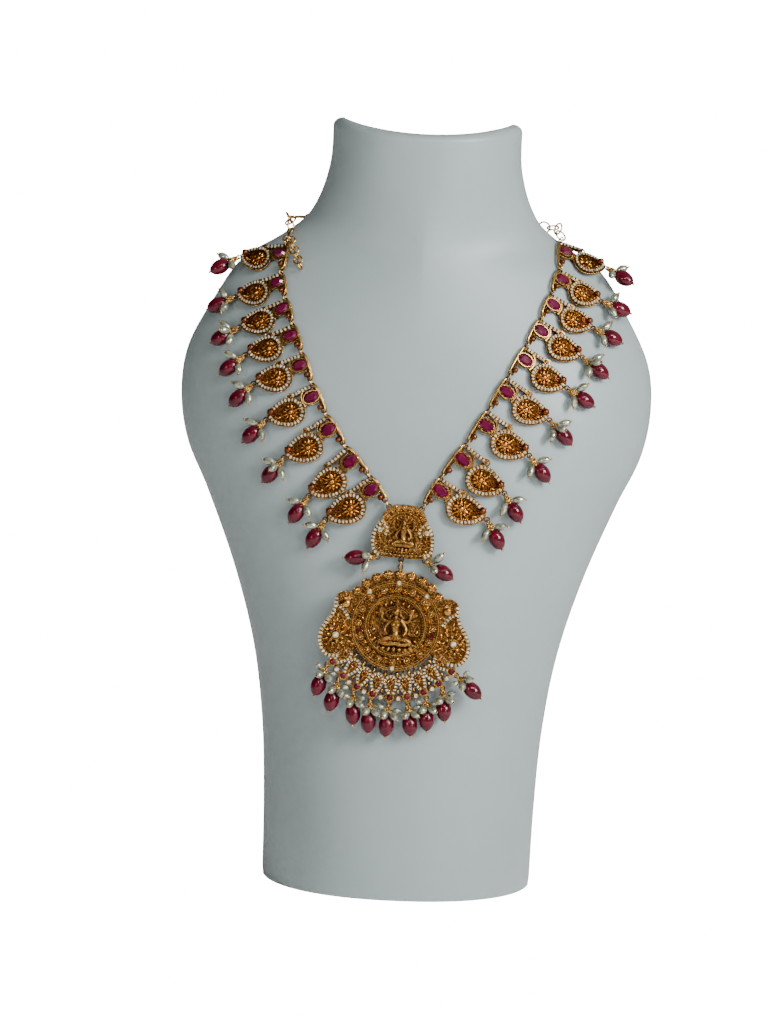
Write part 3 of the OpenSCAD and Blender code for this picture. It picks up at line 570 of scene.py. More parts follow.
def node(tree, kind, inputs=(), **settings):
    made = tree.nodes.new("ShaderNode" + kind)
    for key, value in settings.items():
        setattr(made, key, value)
    feed(tree, made, dict(inputs))
    return made


def maths(tree, operation, *values, clamp=False):
    return node(tree, "Math", enumerate(values), operation=operation, use_clamp=clamp).outputs[0]


def mapped(tree, value, span, onto=(0, 1), curve="LINEAR"):
    """A value whose span is laid over another one"""
    limits = {"From Min": span[0], "From Max": span[1], "To Min": onto[0], "To Max": onto[1]}
    return node(tree, "MapRange", {"Value": value, **limits}, interpolation_type=curve).outputs["Result"]


def mixed(tree, share, first, second):
    return node(tree, "Mix", {"Factor": share, "A": first, "B": second}, data_type="RGBA").outputs["Result"]


def effect_group(name, inputs):
    """A group with its own inputs and the outputs that every finish takes"""
    tree = bpy.data.node_groups.new(name, "ShaderNodeTree")
    outputs = (("Color", "Color"), ("Roughness", "Float"), ("Height", "Float"))
    for way, sockets in (("INPUT", inputs), ("OUTPUT", outputs)):
        for socket, kind, *values in sockets:
            made = tree.interface.new_socket(name=socket, in_out=way, socket_type="NodeSocket" + kind)
            if values:
                made.default_value = values[0]
            if values[1:]:
                made.min_value, made.max_value = values[1:]
    return tree, tree.nodes.new("NodeGroupInput").outputs, tree.nodes.new("NodeGroupOutput")


def antique_group():
    """Antiqued cast gold: dark in the grain's hollows, bright where it is rubbed"""
    tree, given, result = effect_group("Antique gold", (
        ("Raised", "Color", (0.9, 0.5, 0.15, 1)), ("Recessed", "Color", (0.2, 0.08, 0.02, 1)),
        ("Grain scale", "Float", 1400.0, 1, 20000), ("Patina", "Float", 0.5, 0, 1)))
    place, scale = node(tree, "TexCoord").outputs["Object"], given["Grain scale"]
    grain = node(tree, "TexVoronoi", {"Vector": place, "Scale": scale, "Smoothness": 0.6}, feature="SMOOTH_F1")
    cloud = node(tree, "TexNoise", {"Vector": place, "Scale": 260.0, "Detail": 4.0, "Roughness": 0.6})
    fine = node(tree, "TexNoise", {"Vector": place, "Scale": maths(tree, "MULTIPLY", scale, 1.7), "Detail": 3.0,
                                   "Roughness": 0.55})
    hollow = mapped(tree, grain.outputs["Distance"], (0.75, 0.2), curve="SMOOTHSTEP")
    worn = maths(tree, "MULTIPLY_ADD", cloud.outputs["Fac"], 1.5, -0.45)
    both = maths(tree, "MULTIPLY", hollow, worn, clamp=True)
    rubbed = maths(tree, "ADD", both, maths(tree, "SUBTRACT", 0.75, given["Patina"]), clamp=True)
    feed(tree, result, {
        "Color": mixed(tree, rubbed, given["Recessed"], given["Raised"]),
        "Roughness": mapped(tree, rubbed, (0, 1), (0.42, 0.14)),
        "Height": maths(tree, "ADD", hollow, fine.outputs["Fac"])})
    return tree


def clouding_group():
    """Slow, faint variation of a colour through a body of stone, pearl or plastic"""
    tree, given, result = effect_group("Clouding", (
        ("Colour", "Color", (0.5, 0.5, 0.5, 1)), ("Second colour", "Color", (0.5, 0.5, 0.5, 1)),
        ("Scale", "Float", 300.0, 0.1, 20000), ("Roughness", "Float", 0.2, 0, 1)))
    cloud = node(tree, "TexNoise", {
        "Vector": node(tree, "TexCoord").outputs["Object"], "Scale": given["Scale"], "Detail": 5.0,
        "Roughness": 0.6, "Distortion": 0.4}).outputs["Fac"]
    spread = mapped(tree, cloud, (0.35, 0.65), curve="SMOOTHSTEP")
    feed(tree, result, {
        "Color": mixed(tree, spread, given["Colour"], given["Second colour"]),
        "Roughness": maths(tree, "MULTIPLY_ADD", cloud, 0.12, given["Roughness"], clamp=True),
        "Height": cloud})
    return tree


def new_material(name):
    made = bpy.data.materials.new(name)
    made.use_nodes = True
    return made, made.node_tree, made.node_tree.nodes["Principled BSDF"]


def grouped_material(name, group, values, depth, bump, shader_values):
    """A material whose colour, roughness and bump come from a shared group"""
    made, tree, shader = new_material(name.capitalize())
    effect = tree.nodes.new("ShaderNodeGroup")
    effect.node_tree = group
    feed(tree, effect, values)
    raised = node(tree, "Bump", {"Strength": bump, "Distance": depth, "Height": effect.outputs["Height"]})
    feed(tree, shader, {"Base Color": effect.outputs["Color"], "Roughness": effect.outputs["Roughness"],
                        "Normal": raised.outputs["Normal"], **shader_values})
    FINISHES[name] = made


def rgba(colour, share=1.0):
    return tuple(min(1.0, c * share) for c in colour) + (1.0,)


def make_finishes():
    colours = bpy.context.scene.necklace_colours
    antique, clouding = antique_group(), clouding_group()
    for name, (raised, share, recessed, deep, scale, patina, *bump) in METALS.items():
        raised, recessed = rgba(getattr(colours, raised), share), rgba(getattr(colours, recessed), deep)
        values = {"Raised": raised, "Recessed": recessed, "Grain scale": scale, "Patina": patina}
        grouped_material(name, antique, values, *bump, {"Metallic": 1.0})
    for name, (colour, second, scale, roughness, *bump, shader_values) in BODIES.items():
        colour = getattr(colours, colour)
        second = rgba(second) if isinstance(second, tuple) else rgba(colour, second)
        values = {"Colour": rgba(colour), "Second colour": second, "Scale": scale, "Roughness": roughness}
        grouped_material(name, clouding, values, *bump, shader_values)


def dress_nodes():
    """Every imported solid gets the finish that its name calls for"""
    for name, solid in NODES.items():
        finish = next((found for part, found in NODE_FINISHES if part in name), "plate gold")
        if not solid.material_slots:
            solid.data.materials.append(FINISHES[finish])
        for place in solid.material_slots:
            place.material = FINISHES[finish]


# ---------------------------------------------------------------- ornament
def ornament(name):
    """A size of the ornament, in millimetres"""
    return getattr(bpy.context.scene.necklace_ornament, name) / MM


def halves(place):
    """A place's mirror image and itself"""
    return place @ sized(LEFT, 1, 1), place


def polar(r, degrees, x=0.0, y=0.0):
    """Across and up of a point at a distance and a turn from another"""
    a = math.radians(degrees)
    return x + r * math.cos(a), y + r * math.sin(a)


def dot(pile, place, x, y, z, r, shape="granule", flat=1.0):
    pile.add(shape, place @ shift(x, y, z) @ sized(r, r, r * flat))


def dots(pile, place, path, step, z, r, closed=True):
    """A row of granules soldered along a line"""
    for point, _ in spaced(path, step, closed):
        dot(pile, place, point[0], point[1], z, r)


def dot_ring(pile, place, count, reach, x, y, z, r):
    """Granules at even turns round a point"""
    for k in range(count):
        dot(pile, place, *polar(reach, 360 / count * k, x, y), z, r)


def collar(pile, place, x, r):
    pile.add("collar", place @ shift(x, 0) @ turned(90, "Y") @ sized(r))


def leaf(pile, place, x, y, z, degrees, length, width, height):
    """A raised petal from a point outward"""
    size = sized(length, width / (2 * PETAL_HALF_W), height / PETAL_H)
    pile.add("petal", place @ shift(x, y, z) @ turned(degrees) @ size)


def rosette(pile, place, x, y, z, r):
    """A small flower of granules round a bead"""
    dot_ring(pile, place, 7, r * 0.72, x, y, z, r * 0.3)
    dot(pile, place, x, y, z + r * 0.16, r * 0.42, "bead")


# A white stone in shares of its size: half its length along the row, half its width, its height; then how
# far from the row and how high its prongs stand
STONE_SHARES, PRONG_REACH, PRONG_RISE = (0.37, 0.54, 0.5), 0.42, 0.33


def stone_row(stones, gold, place, path, size, foot, closed=True, step=1.08):
    """White stones set across a line, with prongs in the gaps on both sides"""
    made = spaced(np.asarray(path)[:, :2], size * step, closed)
    for n, (point, way) in enumerate(made):
        turn = math.degrees(math.atan2(way[1], way[0]))
        lying = place @ shift(point[0], point[1], foot) @ turned(turn)
        stones.add("stone", lying @ sized(*(size * share for share in STONE_SHARES)) @ turned(22.5))
        if not closed and n == len(made) - 1:
            break
        following = made[(n + 1) % len(made)][0]
        for side in (LEFT, RIGHT):
            spot = (point + following) / 2 + side * size * PRONG_REACH * np.array((-way[1], way[0]))
            dot(gold, place, spot[0], spot[1], foot + size * PRONG_RISE, ornament("prong"))


# A seated figure of height 1. Its limbs: points, radii, flatness; the first five are on both sides
LIMBS = (
    (((0.07, 0.20, 0.08), (0.22, 0.185, 0.11), (0.335, 0.135, 0.12)), (0.075, 0.068, 0.05), 0.8),
    (((0.335, 0.135, 0.12), (0.20, 0.095, 0.15), (0.02, 0.10, 0.16), (-0.11, 0.135, 0.16)),
     (0.05, 0.045, 0.036, 0.026), 0.8),
    (((0.11, 0.585, 0.09), (0.205, 0.47, 0.11), (0.225, 0.37, 0.14), (0.17, 0.29, 0.19)),
     (0.045, 0.036, 0.03, 0.022), 1.0),
    (((0.11, 0.60, 0.07), (0.23, 0.565, 0.07), (0.30, 0.65, 0.09), (0.30, 0.75, 0.11)),
     (0.042, 0.034, 0.028, 0.02), 1.0),
    (((0.07, 0.72, 0.08), (0.13, 0.66, 0.07), (0.15, 0.58, 0.07)), (0.02, 0.018, 0.01), 1.0),
    (((0, 0.19, 0.08), (0, 0.27, 0.09), (0, 0.37, 0.09), (0, 0.48, 0.09), (0, 0.57, 0.08), (0, 0.62, 0.08)),
     (0.115, 0.10, 0.068, 0.092, 0.11, 0.05), 0.75),
    (((0, 0.60, 0.08), (0, 0.70, 0.09)), (0.04, 0.036), 1.0))
# Its rounded parts: middle, radii. Four bracelets, ear, breast and eye are on both sides; head, nose, mouth
BRACELET = (0.036, 0.016, 0.036)
SIDE_PARTS = (
    ((0.212, 0.44, 0.12), BRACELET), ((0.27, 0.60, 0.09), BRACELET), ((0.195, 0.33, 0.165), BRACELET),
    ((0.302, 0.70, 0.10), BRACELET), ((0.078, 0.775, 0.10), (0.017, 0.045, 0.028)),
    ((0.048, 0.50, 0.155), (0.043, 0.04, 0.034)), ((0.026, 0.785, 0.171), (0.012, 0.006, 0.009)))
FACE_PARTS = (((0, 0.765, 0.178), (0.010, 0.019, 0.012)), ((0, 0.734, 0.168), (0.018, 0.006, 0.010)))
# Its crown's tiers: height, radius; its necklaces: radius, step, first and last turn, height
CROWN = ((0.85, 0.078), (0.895, 0.066), (0.94, 0.05), (0.98, 0.034), (1.01, 0.018))
NECKLACES = ((0.09, 0.032, 205, 335, 0.625), (0.13, 0.036, 225, 315, 0.61), (0.15, 0.036, 240, 300, 0.40))


def seated_figure(gold, place, h):
    """A seated four-armed figure with a calm, plain face, cross-legged on a lotus seat"""
    at = place @ sized(h)

    def limb(side, points, radii, flat):
        line = curved(np.array(points) * (side, 1, 1), 5)
        width = np.interp(np.linspace(0, 1, len(line)), np.linspace(0, 1, len(radii)), radii)
        gold.wire(at, line, width, sides=8, flat=flat)

    def part(side, middle, radii, shape="bead"):
        gold.add(shape, at @ shift(side * middle[0], *middle[1:]) @ sized(*radii))

    def row(path, step, z, r):
        dots(gold, at, path, step, z, r, closed=False)

    for k in range(-3, 4):
        leaf(gold, at, 0.10 * k, 0.05, 0.04, -90 + 13 * k, 0.17, 0.13, 0.07)
        leaf(gold, at, 0.10 * k + 0.05, 0.04, 0.02, 90 - 13 * k, 0.10, 0.11, 0.05)
    row(arc(0.42, 215, 325, 24, 0, 0.30), 0.05, 0.10, 0.02)
    for side in (LEFT, RIGHT):
        for shape in LIMBS[:5]:
            limb(side, *shape)
        for shape in SIDE_PARTS:
            part(side, *shape)
        for step in range(5):
            dot(gold, at, side * (0.12 + 0.045 * step), 0.20 - 0.012 * step, 0.175, 0.016)
        rosette(gold, at, side * 0.305, 0.80, 0.12, 0.05)
    for shape in LIMBS[5:]:
        limb(RIGHT, *shape)
    part(RIGHT, (0, 0.775, 0.11), (0.068, 0.085, 0.07), "ball")
    for shape in FACE_PARTS:
        part(RIGHT, *shape)
    for tier, (y, r) in enumerate(CROWN):
        part(RIGHT, (0, y, 0.11), (r, 0.03, r))
        if tier < 3:
            row(((-r * 0.8, y), (r * 0.8, y)), 0.03, 0.11 + r * 0.9, 0.012)
    for r, step, first, last, y in NECKLACES:
        row(arc(r, first, last, 14, 0, y), step, 0.175, 0.014)
    row(((-0.10, 0.27), (0.10, 0.27)), 0.034, 0.165, 0.016)
    for k in range(-1, 2):
        leaf(gold, at, 0.045 * k, 0.26, 0.165, -90 + 12 * k, 0.10, 0.045, 0.02)


# ---------------------------------------------------------------- the bust
# Share of the grid's rows below the rolled rim; height over which the dip of the rim fades out
SHELL_SHARE, DIP_REACH = 0.9, 40
SMOOTH_EDGE = math.radians(50)


def shell_point(bust, u, v):
    """The shell's outer surface, from edge to edge (u) and from the foot to the neck's rolled rim (v)"""
    foot, neck, roll, dip = (
        getattr(bust, name) / MM for name in ("foot_corner", "neck_corner", "neck_roll", "neck_dip"))
    rim = math.sin(max(0, v - SHELL_SHARE) / (1 - SHELL_SHARE) * math.pi / 2)
    z = (BUST_H - roll) * min(1, v / SHELL_SHARE) + roll * rim
    rolled = roll - math.sqrt(max(0, roll**2 - max(0, z - BUST_H + roll) ** 2))
    low, high = max(0, foot - z), min(max(0, z - (BUST_H - neck)), neck * 0.96)
    drawn = foot - math.sqrt(foot**2 - low**2) + neck - math.sqrt(neck**2 - high**2)
    half, depth, power = section(z)
    half, depth = half - rolled, depth - rolled
    start = math.asin(min(0.9, (drawn / depth) ** (power / 2)))
    a = math.pi / 2 + (math.pi / 2 - start) * u
    across, forward = math.cos(a), math.sin(a) ** (2 / power)
    x = math.copysign(half * abs(across) ** (2 / power), across)
    z -= dip * (1 - u**2) ** 2 * max(0, 1 - (BUST_H - z) / DIP_REACH) ** 2
    return Vector((x, BACK_Y - depth * forward, z)) * MM


def model_bust():
    """A thin half shell of neck and shoulders, its edges rounded"""
    bust = bpy.context.scene.necklace_bust
    select_only()
    bpy.ops.mesh.primitive_grid_add(x_subdivisions=88, y_subdivisions=130, size=2)
    shell = bpy.context.active_object
    shell.name = "bust_shell"
    stretch = Vector((bust.width / BUST_SIZE[0], bust.depth / BUST_SIZE[1], bust.height / BUST_SIZE[2]))
    for point in shell.data.vertices:
        point.co = shell_point(bust, point.co.x, (point.co.y + 1) / 2) * stretch
    face_outward()
    middle = min(shell.data.polygons, key=lambda f: f.center.y)
    if middle.normal.y > 0:
        shell.data.flip_normals()
    thick = shell.modifiers.new("Wall", "SOLIDIFY")
    thick.thickness, thick.offset, thick.use_even_offset = bust.wall, -1, True
    bpy.ops.object.modifier_apply(modifier=thick.name)
    edge = shell.modifiers.new("Rims", "BEVEL")
    edge.width, edge.segments = bust.wall * 0.42, 4
    edge.limit_method, edge.angle_limit = "ANGLE", SMOOTH_EDGE
    bpy.ops.object.modifier_apply(modifier=edge.name)
    bpy.ops.object.shade_smooth_by_angle(angle=SMOOTH_EDGE)
    shell.data.materials.append(FINISHES["bust resin"])
    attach(shell, "stand")
    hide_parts("display_bust")


# ---------------------------------------------------------------- chain units
# Leaves in the drawn tip of a mango: across, up, turn, length
MANGO_TIP_LEAVES = ((0.0, 4.9, 95, 3.2), (-1.0, 4.6, 140, 1.9), (1.1, 4.6, 55, 1.9), (-0.7, 6.6, 112, 2.4))


def dress_mango(gold, wires, stones, at):
    """White border, granules and flower on a mango plate"""
    granule = ornament("granule")
    stone_row(stones, gold, at, mango_outline(-0.85), ornament("border_stone"), 0.72)
    dots(wires, at, mango_outline(0.08), 0.8, -0.2, granule)
    dots(gold, at, mango_outline(-2.0), 0.8, 0.05, granule * 0.9)
    for k in range(6):
        leaf(gold, at, 0, 0, 0.0, 60 * k + 30, 4.4, 2.1, 0.8)
        leaf(gold, at @ turned(60 * k), 2.0, 0, 0.65, 0, 1.9, 1.0, 0.4)
        dot(gold, at @ turned(60 * k + 30), 4.1, 0, 0.15, 0.42)
    dot(gold, at, 0, 0, 1.1, 1.25, "ball", 0.62)
    dots(gold, at, arc(1.55, 0, 345), 0.75, 1.15, 0.28)
    for x, y, turn, size in MANGO_TIP_LEAVES:
        leaf(gold, at, x, y, 0.0, turn, size, size * 0.55, 0.8)


def dress_oval(gold, wires, cup):
    """Rims, claws and crescent round the oval stone of a unit"""
    granule = ornament("granule")
    half_w, half_l, crescent = OVAL_W / 2, OVAL_L / 2, OVAL_L / 2 + 1.3
    turns = arc(1, 0, 352, 60)
    wires.wire(cup @ shift(0, 0, 1.12), turns * (half_w + 0.42, half_l + 0.42, 1), 0.24, closed=True)
    dots(wires, cup, turns * (half_w + 0.85, half_l + 0.85, 1), 0.85, -0.1, granule * 1.15)
    for k in range(12):
        claw = np.array(polar(1, 30 * k + 15)) * (half_w + 0.1, half_l + 0.1)
        dot(gold, cup, *claw, 1.28, 0.3)
    wires.wire(cup, arc(crescent, 55, 172, 20, z=0.05), 0.36)
    dots(gold, cup, arc(crescent + 0.55, 60, 168, 20), 0.9, -0.1, granule)


def dress_unit(gold, wires, dark, stones, side, i):
    """Stones, relief and wires of one chain unit"""
    g, length = grade(i), pitch(side, i)
    place = unit_frame(side, i)
    oval, mango = oval_at(side, i), mango_at(side, i)
    dress_mango(gold, wires, stones, place @ shift(*mango) @ sized(g, g, 1))
    dress_oval(gold, wires, place @ shift(*oval) @ sized(g, g, 1))
    bar_x, bar_end = RING_R + 0.1, mango[1] - MANGO_R * g * 0.55
    bar = np.array(((bar_x, EYE_R + 0.7), (bar_x, bar_end - 0.6)))
    stone_row(stones, gold, place, bar, ornament("bar_stone"), 0.22, closed=False)
    wires.wire(place @ shift(bar_x, bar_end + 1.3, -0.1), arc(1.15, 0, 345, 16), 0.34, closed=True)
    rosette(gold, place, bar_x, bar_end + 0.35, 0.35, 1.0)
    start, end = RING_R * 0.9, length - RING_R * 0.7
    side_bar = curved(((start, -0.2, 0.3), (start + 1.2, -1.0, 0.5), ((start + end) / 2, -1.25, 0.55),
                       (end - 1.4, -1.0, 0.45), (end, -0.1, 0.2)))
    swell = np.interp(np.arange(len(side_bar)), (0, 6, 18, 24), (0.3, 0.52, 0.52, 0.3))
    wires.wire(place, side_bar, swell, sides=8)
    wires.wire(place, side_bar + (0, -0.35, -0.75), 0.3)
    tip_x, tip_y = mango[0] - (MANGO_BEND + 2) * g, mango[1] + (MANGO_R + MANGO_REACH - 2.4) * g
    dot(dark, place, tip_x, tip_y, 1.35, 1.5 * g, "ball", 0.8)
    dot_ring(dark, place, 7, 1.5 * g, tip_x, tip_y, 0.7, 0.42)
    dark.wire(place, spiral(0.35, 1.5 * g, 0, 420, 26, tip_x + 0.3, tip_y - 2.4 * g, 0.1), 0.3)
    joint_x, joint_y = length - RING_R - EYE_R - 1, 0.9 * g
    dot(dark, place, joint_x, joint_y, 0.85, 1.2 * g, "ball", 0.8)
    dot_ring(dark, place, 6, 1.05 * g, joint_x, joint_y, 0.25, 0.4)


def dress_chain(name):
    """Dress the units of one side"""
    gold, wires, dark, stones = Pile(), Pile(), Pile(), Pile()
    for i in range(1, UNITS + 1):
        dress_unit(gold, wires, dark, stones, SIDES[name], i)
    gold.piece(f"unit_relief_{name}", "mango gold", "stand", "gold")
    wires.piece(f"unit_wires_{name}", "wire gold", "stand", "gold", 60)
    dark.piece(f"unit_curls_{name}", "dark gold", "stand", "gold", 60)
    stones.piece(f"unit_stones_{name}", "white stone", "stand", "crystal", 0)


# ---------------------------------------------------------------- drops
# Head pins of the pearls of a drop: turn and rise of each, in degrees
SIDE_PEARLS = ((62, 14), (-62, 14), (8, 62))
FRINGE_PEARLS = ((52, 42), (-34, 57))
CORNER_PEARLS = (((62, 14), (-30, 60)), ((75, 5), (-20, 60)))
PEARL_MID = CLUSTER_R + GAP + PEARL_L / 2
SEED_L, SEED_D = 3.8, 2.6
SEED_WAYS = (((98, 20), (-112, 24)), ((104, 8),))
GOLDEN_TURN = math.degrees(math.pi * (3 - math.sqrt(5)))


def pearl_pin(place, turn, rise):
    return place @ shift(CLUSTER_AT, 0) @ turned(turn) @ turned(-rise, "Y")


def almond_shape():
    """The ruby drop: an oval bead along X drawn to a soft point at its lower end"""
    points, faces = bead_shape(20, 14)
    z, y, t = (points * (-1, 1, 1)).T
    t = np.clip(t, -1, 1)
    full = np.sqrt(np.clip(1 - t**2, 1e-9, 1))
    share = (1 - t**2 * 0.999) ** np.where(t > 0, 0.58, 0.48) / full * (1 - 0.05 * t)
    return np.column_stack((t * DROP_L * 0.515, y * share * DROP_D * 0.54, z * share * DROP_D * 0.52)), faces


def dress_drop(gold, rubies, place, ways):
    """Granulated cluster, caps and collars of one drop, and its almond ruby"""
    count, reach = 17, CLUSTER_R * 0.95
    for k in range(count):
        height = 1 - 2 * (k + 0.5) / count
        ring = reach * math.sqrt(1 - height**2)
        dot(gold, place, CLUSTER_AT + reach * height, *polar(ring, GOLDEN_TURN * k), 0.5)
    for up, ring, turn in ((1.25, 0.95, 0), (1.85, 0.75, 30), (2.4, 0.55, 0)):
        for k in range(6):
            dot(gold, place, CLUSTER_AT - up, *polar(ring, 60 * k + turn), 0.42)
    rubies.add("drop", place @ shift(RUBY_AT, 0))
    collar(gold, place, RUBY_AT - DROP_L / 2 - 0.1, 0.62)
    collar(gold, place, RUBY_AT + DROP_L / 2 + 0.12, 0.28)
    for k in range(5):
        cap = place @ shift(RUBY_AT - DROP_L / 2 - 0.25, 0) @ turned(72 * k, "X")
        leaf(gold, cap, 0, 0, 0.35, 0, 1.6, 1.0, 0.35)
    for way in ways:
        pin = pearl_pin(place, *way)
        collar(gold, pin, PEARL_MID - PEARL_L / 2 - 0.05, 0.5)
        collar(gold, pin, PEARL_MID + PEARL_L / 2 + 0.08, 0.36)


def dress_drops(name, node_name, body, places):
    """Dress a group of drops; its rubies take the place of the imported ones"""
    gold, rubies = Pile(), Pile()
    for place, ways in places:
        dress_drop(gold, rubies, place, ways)
    gold.piece(f"{name}_granules", "bright gold", body, "gold", 60)
    made = rubies.piece(f"{name}_almonds", "drop red", body, "ruby", 80)
    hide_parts(node_name)


def model_seed_pearls():
    """The smaller pearls that fill the gaps beside the drops of the fringe"""
    pearls, gold = Pile(), Pile()
    half, thick = SEED_L / 2, SEED_D / 2
    middle = CLUSTER_R + GAP + half
    for k in range(UNITS):
        for way in SEED_WAYS[k % 2]:
            pin = pearl_pin(fringe_frame(k), *way)
            pearls.add("ball", pin @ shift(middle, 0) @ sized(half, thick, thick))
            collar(gold, pin, middle - half - 0.05, 0.4)
            collar(gold, pin, middle + half + 0.05, 0.32)
    pearls.piece("fringe_seed_pearls", "pearl", "pendant", "pearl", 60)
    gold.piece("fringe_seed_caps", "bright gold", "pendant", "gold", 60)


# ---------------------------------------------------------------- upper pendant
# Right edge from the foot up: share of the half width, share of the height
PLAQUE_SIDE = np.array((
    (0.78, 0), (0.95, 0.1), (1, 0.3), (0.94, 0.5), (0.74, 0.68), (0.62, 0.86), (0.4, 0.97), (0.16, 1)))
# Its foot bar: shares of the width and height
PLAQUE_FOOT = np.array(((-0.37, -0.5), (-0.18, -0.52), (0, -0.53), (0.18, -0.52), (0.37, -0.5)))


def plaque_edge(grow, first=0, last=8):
    across, up = PLAQUE_SIDE[first:last].T
    return curved(np.column_stack((across * (PLAQUE_W / 2 + grow), (up - 0.5) * (PLAQUE_H + 2 * grow))), 8)


def dress_plaque_half(gold, stones, half, arch_r, arch_y):
    """Edge, rosette, arch's post and scrolls of one half of the plaque"""
    eye_x = PLAQUE_W * 0.37
    stone_row(stones, gold, half, plaque_edge(-0.75, 0, 5), ornament("edge_stone"), 1.42, closed=False)
    stones.add("stone", half @ shift(eye_x, 0, FACE) @ sized(1.15, 1.15, 1.6))
    stone_row(stones, gold, half, arc(3.0, 75, 215, 14, eye_x), 1.3, 0.75, closed=False)
    dots(gold, half, arc(1.7, 0, 345, 20, eye_x), 0.7, 1.35, 0.3)
    for inset, z, r in ((-0.15, 1.6, 0.3), (-0.75, 1.75, 0.42), (-1.35, 1.6, 0.3)):
        dots(gold, half, plaque_edge(inset, 4), r * 2.1, z, r, closed=False)
    for point, way in spaced(plaque_edge(-3.1, 4), 1.7, False):
        turn = math.degrees(math.atan2(-way[0], way[1]))
        leaf(gold, half, point[0], point[1], FACE, turn, 1.5, 1.3, 0.9)
    dots(gold, half, plaque_edge(-1.7), 0.75, 0.95, 0.3, closed=False)
    post = ((arch_r, arch_y), (arch_r, -PLAQUE_H * 0.34))
    dots(gold, half, post, 0.8, 1.0, 0.34, closed=False)
    for x, y, turn in ((9.3, -4.6, 70), (10.4, -6.2, 20), (9.0, -7.4, -30), (10.2, -3.2, 110)):
        leaf(gold, half, x, y, FACE - 0.1, turn, 2.1, 1.2, 0.7)
    gold.wire(half, spiral(0.4, 1.6, 0, 420, 24, 8.9, -5.8, FACE + 0.1), 0.28)
    gold.wire(half, spiral(0.3, 1.3, 180, 560, 22, 3.9, 7.9, FACE + 0.1), 0.26)


def model_plaque():
    """Arch, three seated figures, border and foot bar of the upper pendant"""
    gold, stones, figures, bar = Pile(), Pile(), Pile(), Pile()
    place = HANG @ shift(0, PLAQUE_Y)
    seated_figure(figures, place @ shift(0, -PLAQUE_H * 0.33, FACE - 0.1), PLAQUE_H * 0.62)
    arch_y, arch_r = PLAQUE_H * 0.02, PLAQUE_H * 0.34
    for half in halves(place):
        dress_plaque_half(gold, stones, half, arch_r, arch_y)
        seated_figure(figures, half @ shift(5.6, -PLAQUE_H * 0.36, FACE + 0.1), 6.4)
    dots(gold, place, arc(arch_r, 0, 180, 40, 0, arch_y), 0.8, 1.0, 0.34, closed=False)
    gold.wire(place, arc(arch_r - 1.25, 0, 180, 30, 0, arch_y, FACE), 0.3)
    for turn in range(0, 181, 18):
        leaf(gold, place, *polar(arch_r + 0.4, turn, 0, arch_y), FACE, turn, 2.2, 1.5, 1.0)
        leaf(gold, place, *polar(4.2, turn, 0, arch_y + 0.6), FACE - 0.2, turn, 1.6, 1.1, 0.6)
    for k in range(-8, 9):
        for up, z in ((2.1, 0.25), (-0.15, -0.2)):
            dot(gold, place, k * PLAQUE_W * 0.042, -PLAQUE_H / 2 + up, FACE + z, 0.4)
    rosette(gold, place, 0, PLAQUE_H / 2 - 1.2, 1.7, 1.3)
    foot = curved(PLAQUE_FOOT * (PLAQUE_W, PLAQUE_H) + (0, 1.5))
    bar.wire(place @ shift(0, 0, FACE + 0.75), foot, 0.46, sides=8)
    leaf(bar, place, 0, -PLAQUE_H / 2 + 1.2, FACE + 0.6, 90, 2.8, 1.3, 1.0)
    gold.piece("plaque_relief", "relief gold", "stand", "gold")
    figures.piece("plaque_figures", "figure gold", "stand", "gold", 60)
    bar.piece("plaque_foot_bar", "wire gold", "stand", "gold", 60)
    stones.piece("plaque_stones", "white stone", "stand", "crystal", 0)


# ---------------------------------------------------------------- main pendant
# Outline of the right bird, in shares of the disc's radius, and the flower of its wing
BIRD = np.array((
    (0.6, 0.62), (0.84, 0.62), (1.02, 0.66), (1.2, 0.66), (1.34, 0.56), (1.36, 0.38), (1.42, 0.18),
    (1.55, -0.02), (1.65, -0.24), (1.67, -0.48), (1.58, -0.7), (1.42, -0.81), (1.22, -0.8), (1.04, -0.66),
    (0.8, -0.5)))
BIRD_EYE = np.array((1.3, -0.3))
# Rings of the disc: wires by radius and height; granules by radius, step, height and size
DISC_WIRES = ((18.0, 1.95), (12.4, 2.35))
DISC_DOTS = ((17.1, 0.8, 1.45, 0.3), (18.85, 0.9, 1.4, 0.34), (11.6, 0.75, 1.5, 0.3), (13.2, 0.8, 1.3, 0.3))
# Leaves beside the seated figure: across, up, turn
DISC_LEAVES = ((7.4, -5.6, -20), (8.6, -6.2, -50), (6.0, -7.2, -60), (9.4, -4.8, 0), (3.6, -8.8, -80))
# Jewel beside the seated figure and stone row behind the bird's head
SIDE_JEWEL = ((9.1, 1.0), (10.1, -0.8), (10.2, -2.8), (9.1, -4.0), (8.0, -2.8), (8.2, -0.8))
HOOK = ((24.9, 6.6), (23.2, 5.7), (21.4, 4.0), (19.9, 1.6))


# A small mango of the fringe: radius, reach and bend of its tip
SMALL_MANGO = (2.75, 3.4, 0.5)


def bird_edge(share, first, last):
    return curved((BIRD_EYE + (BIRD[first:last] - BIRD_EYE) * share) * DISC_R, 8)


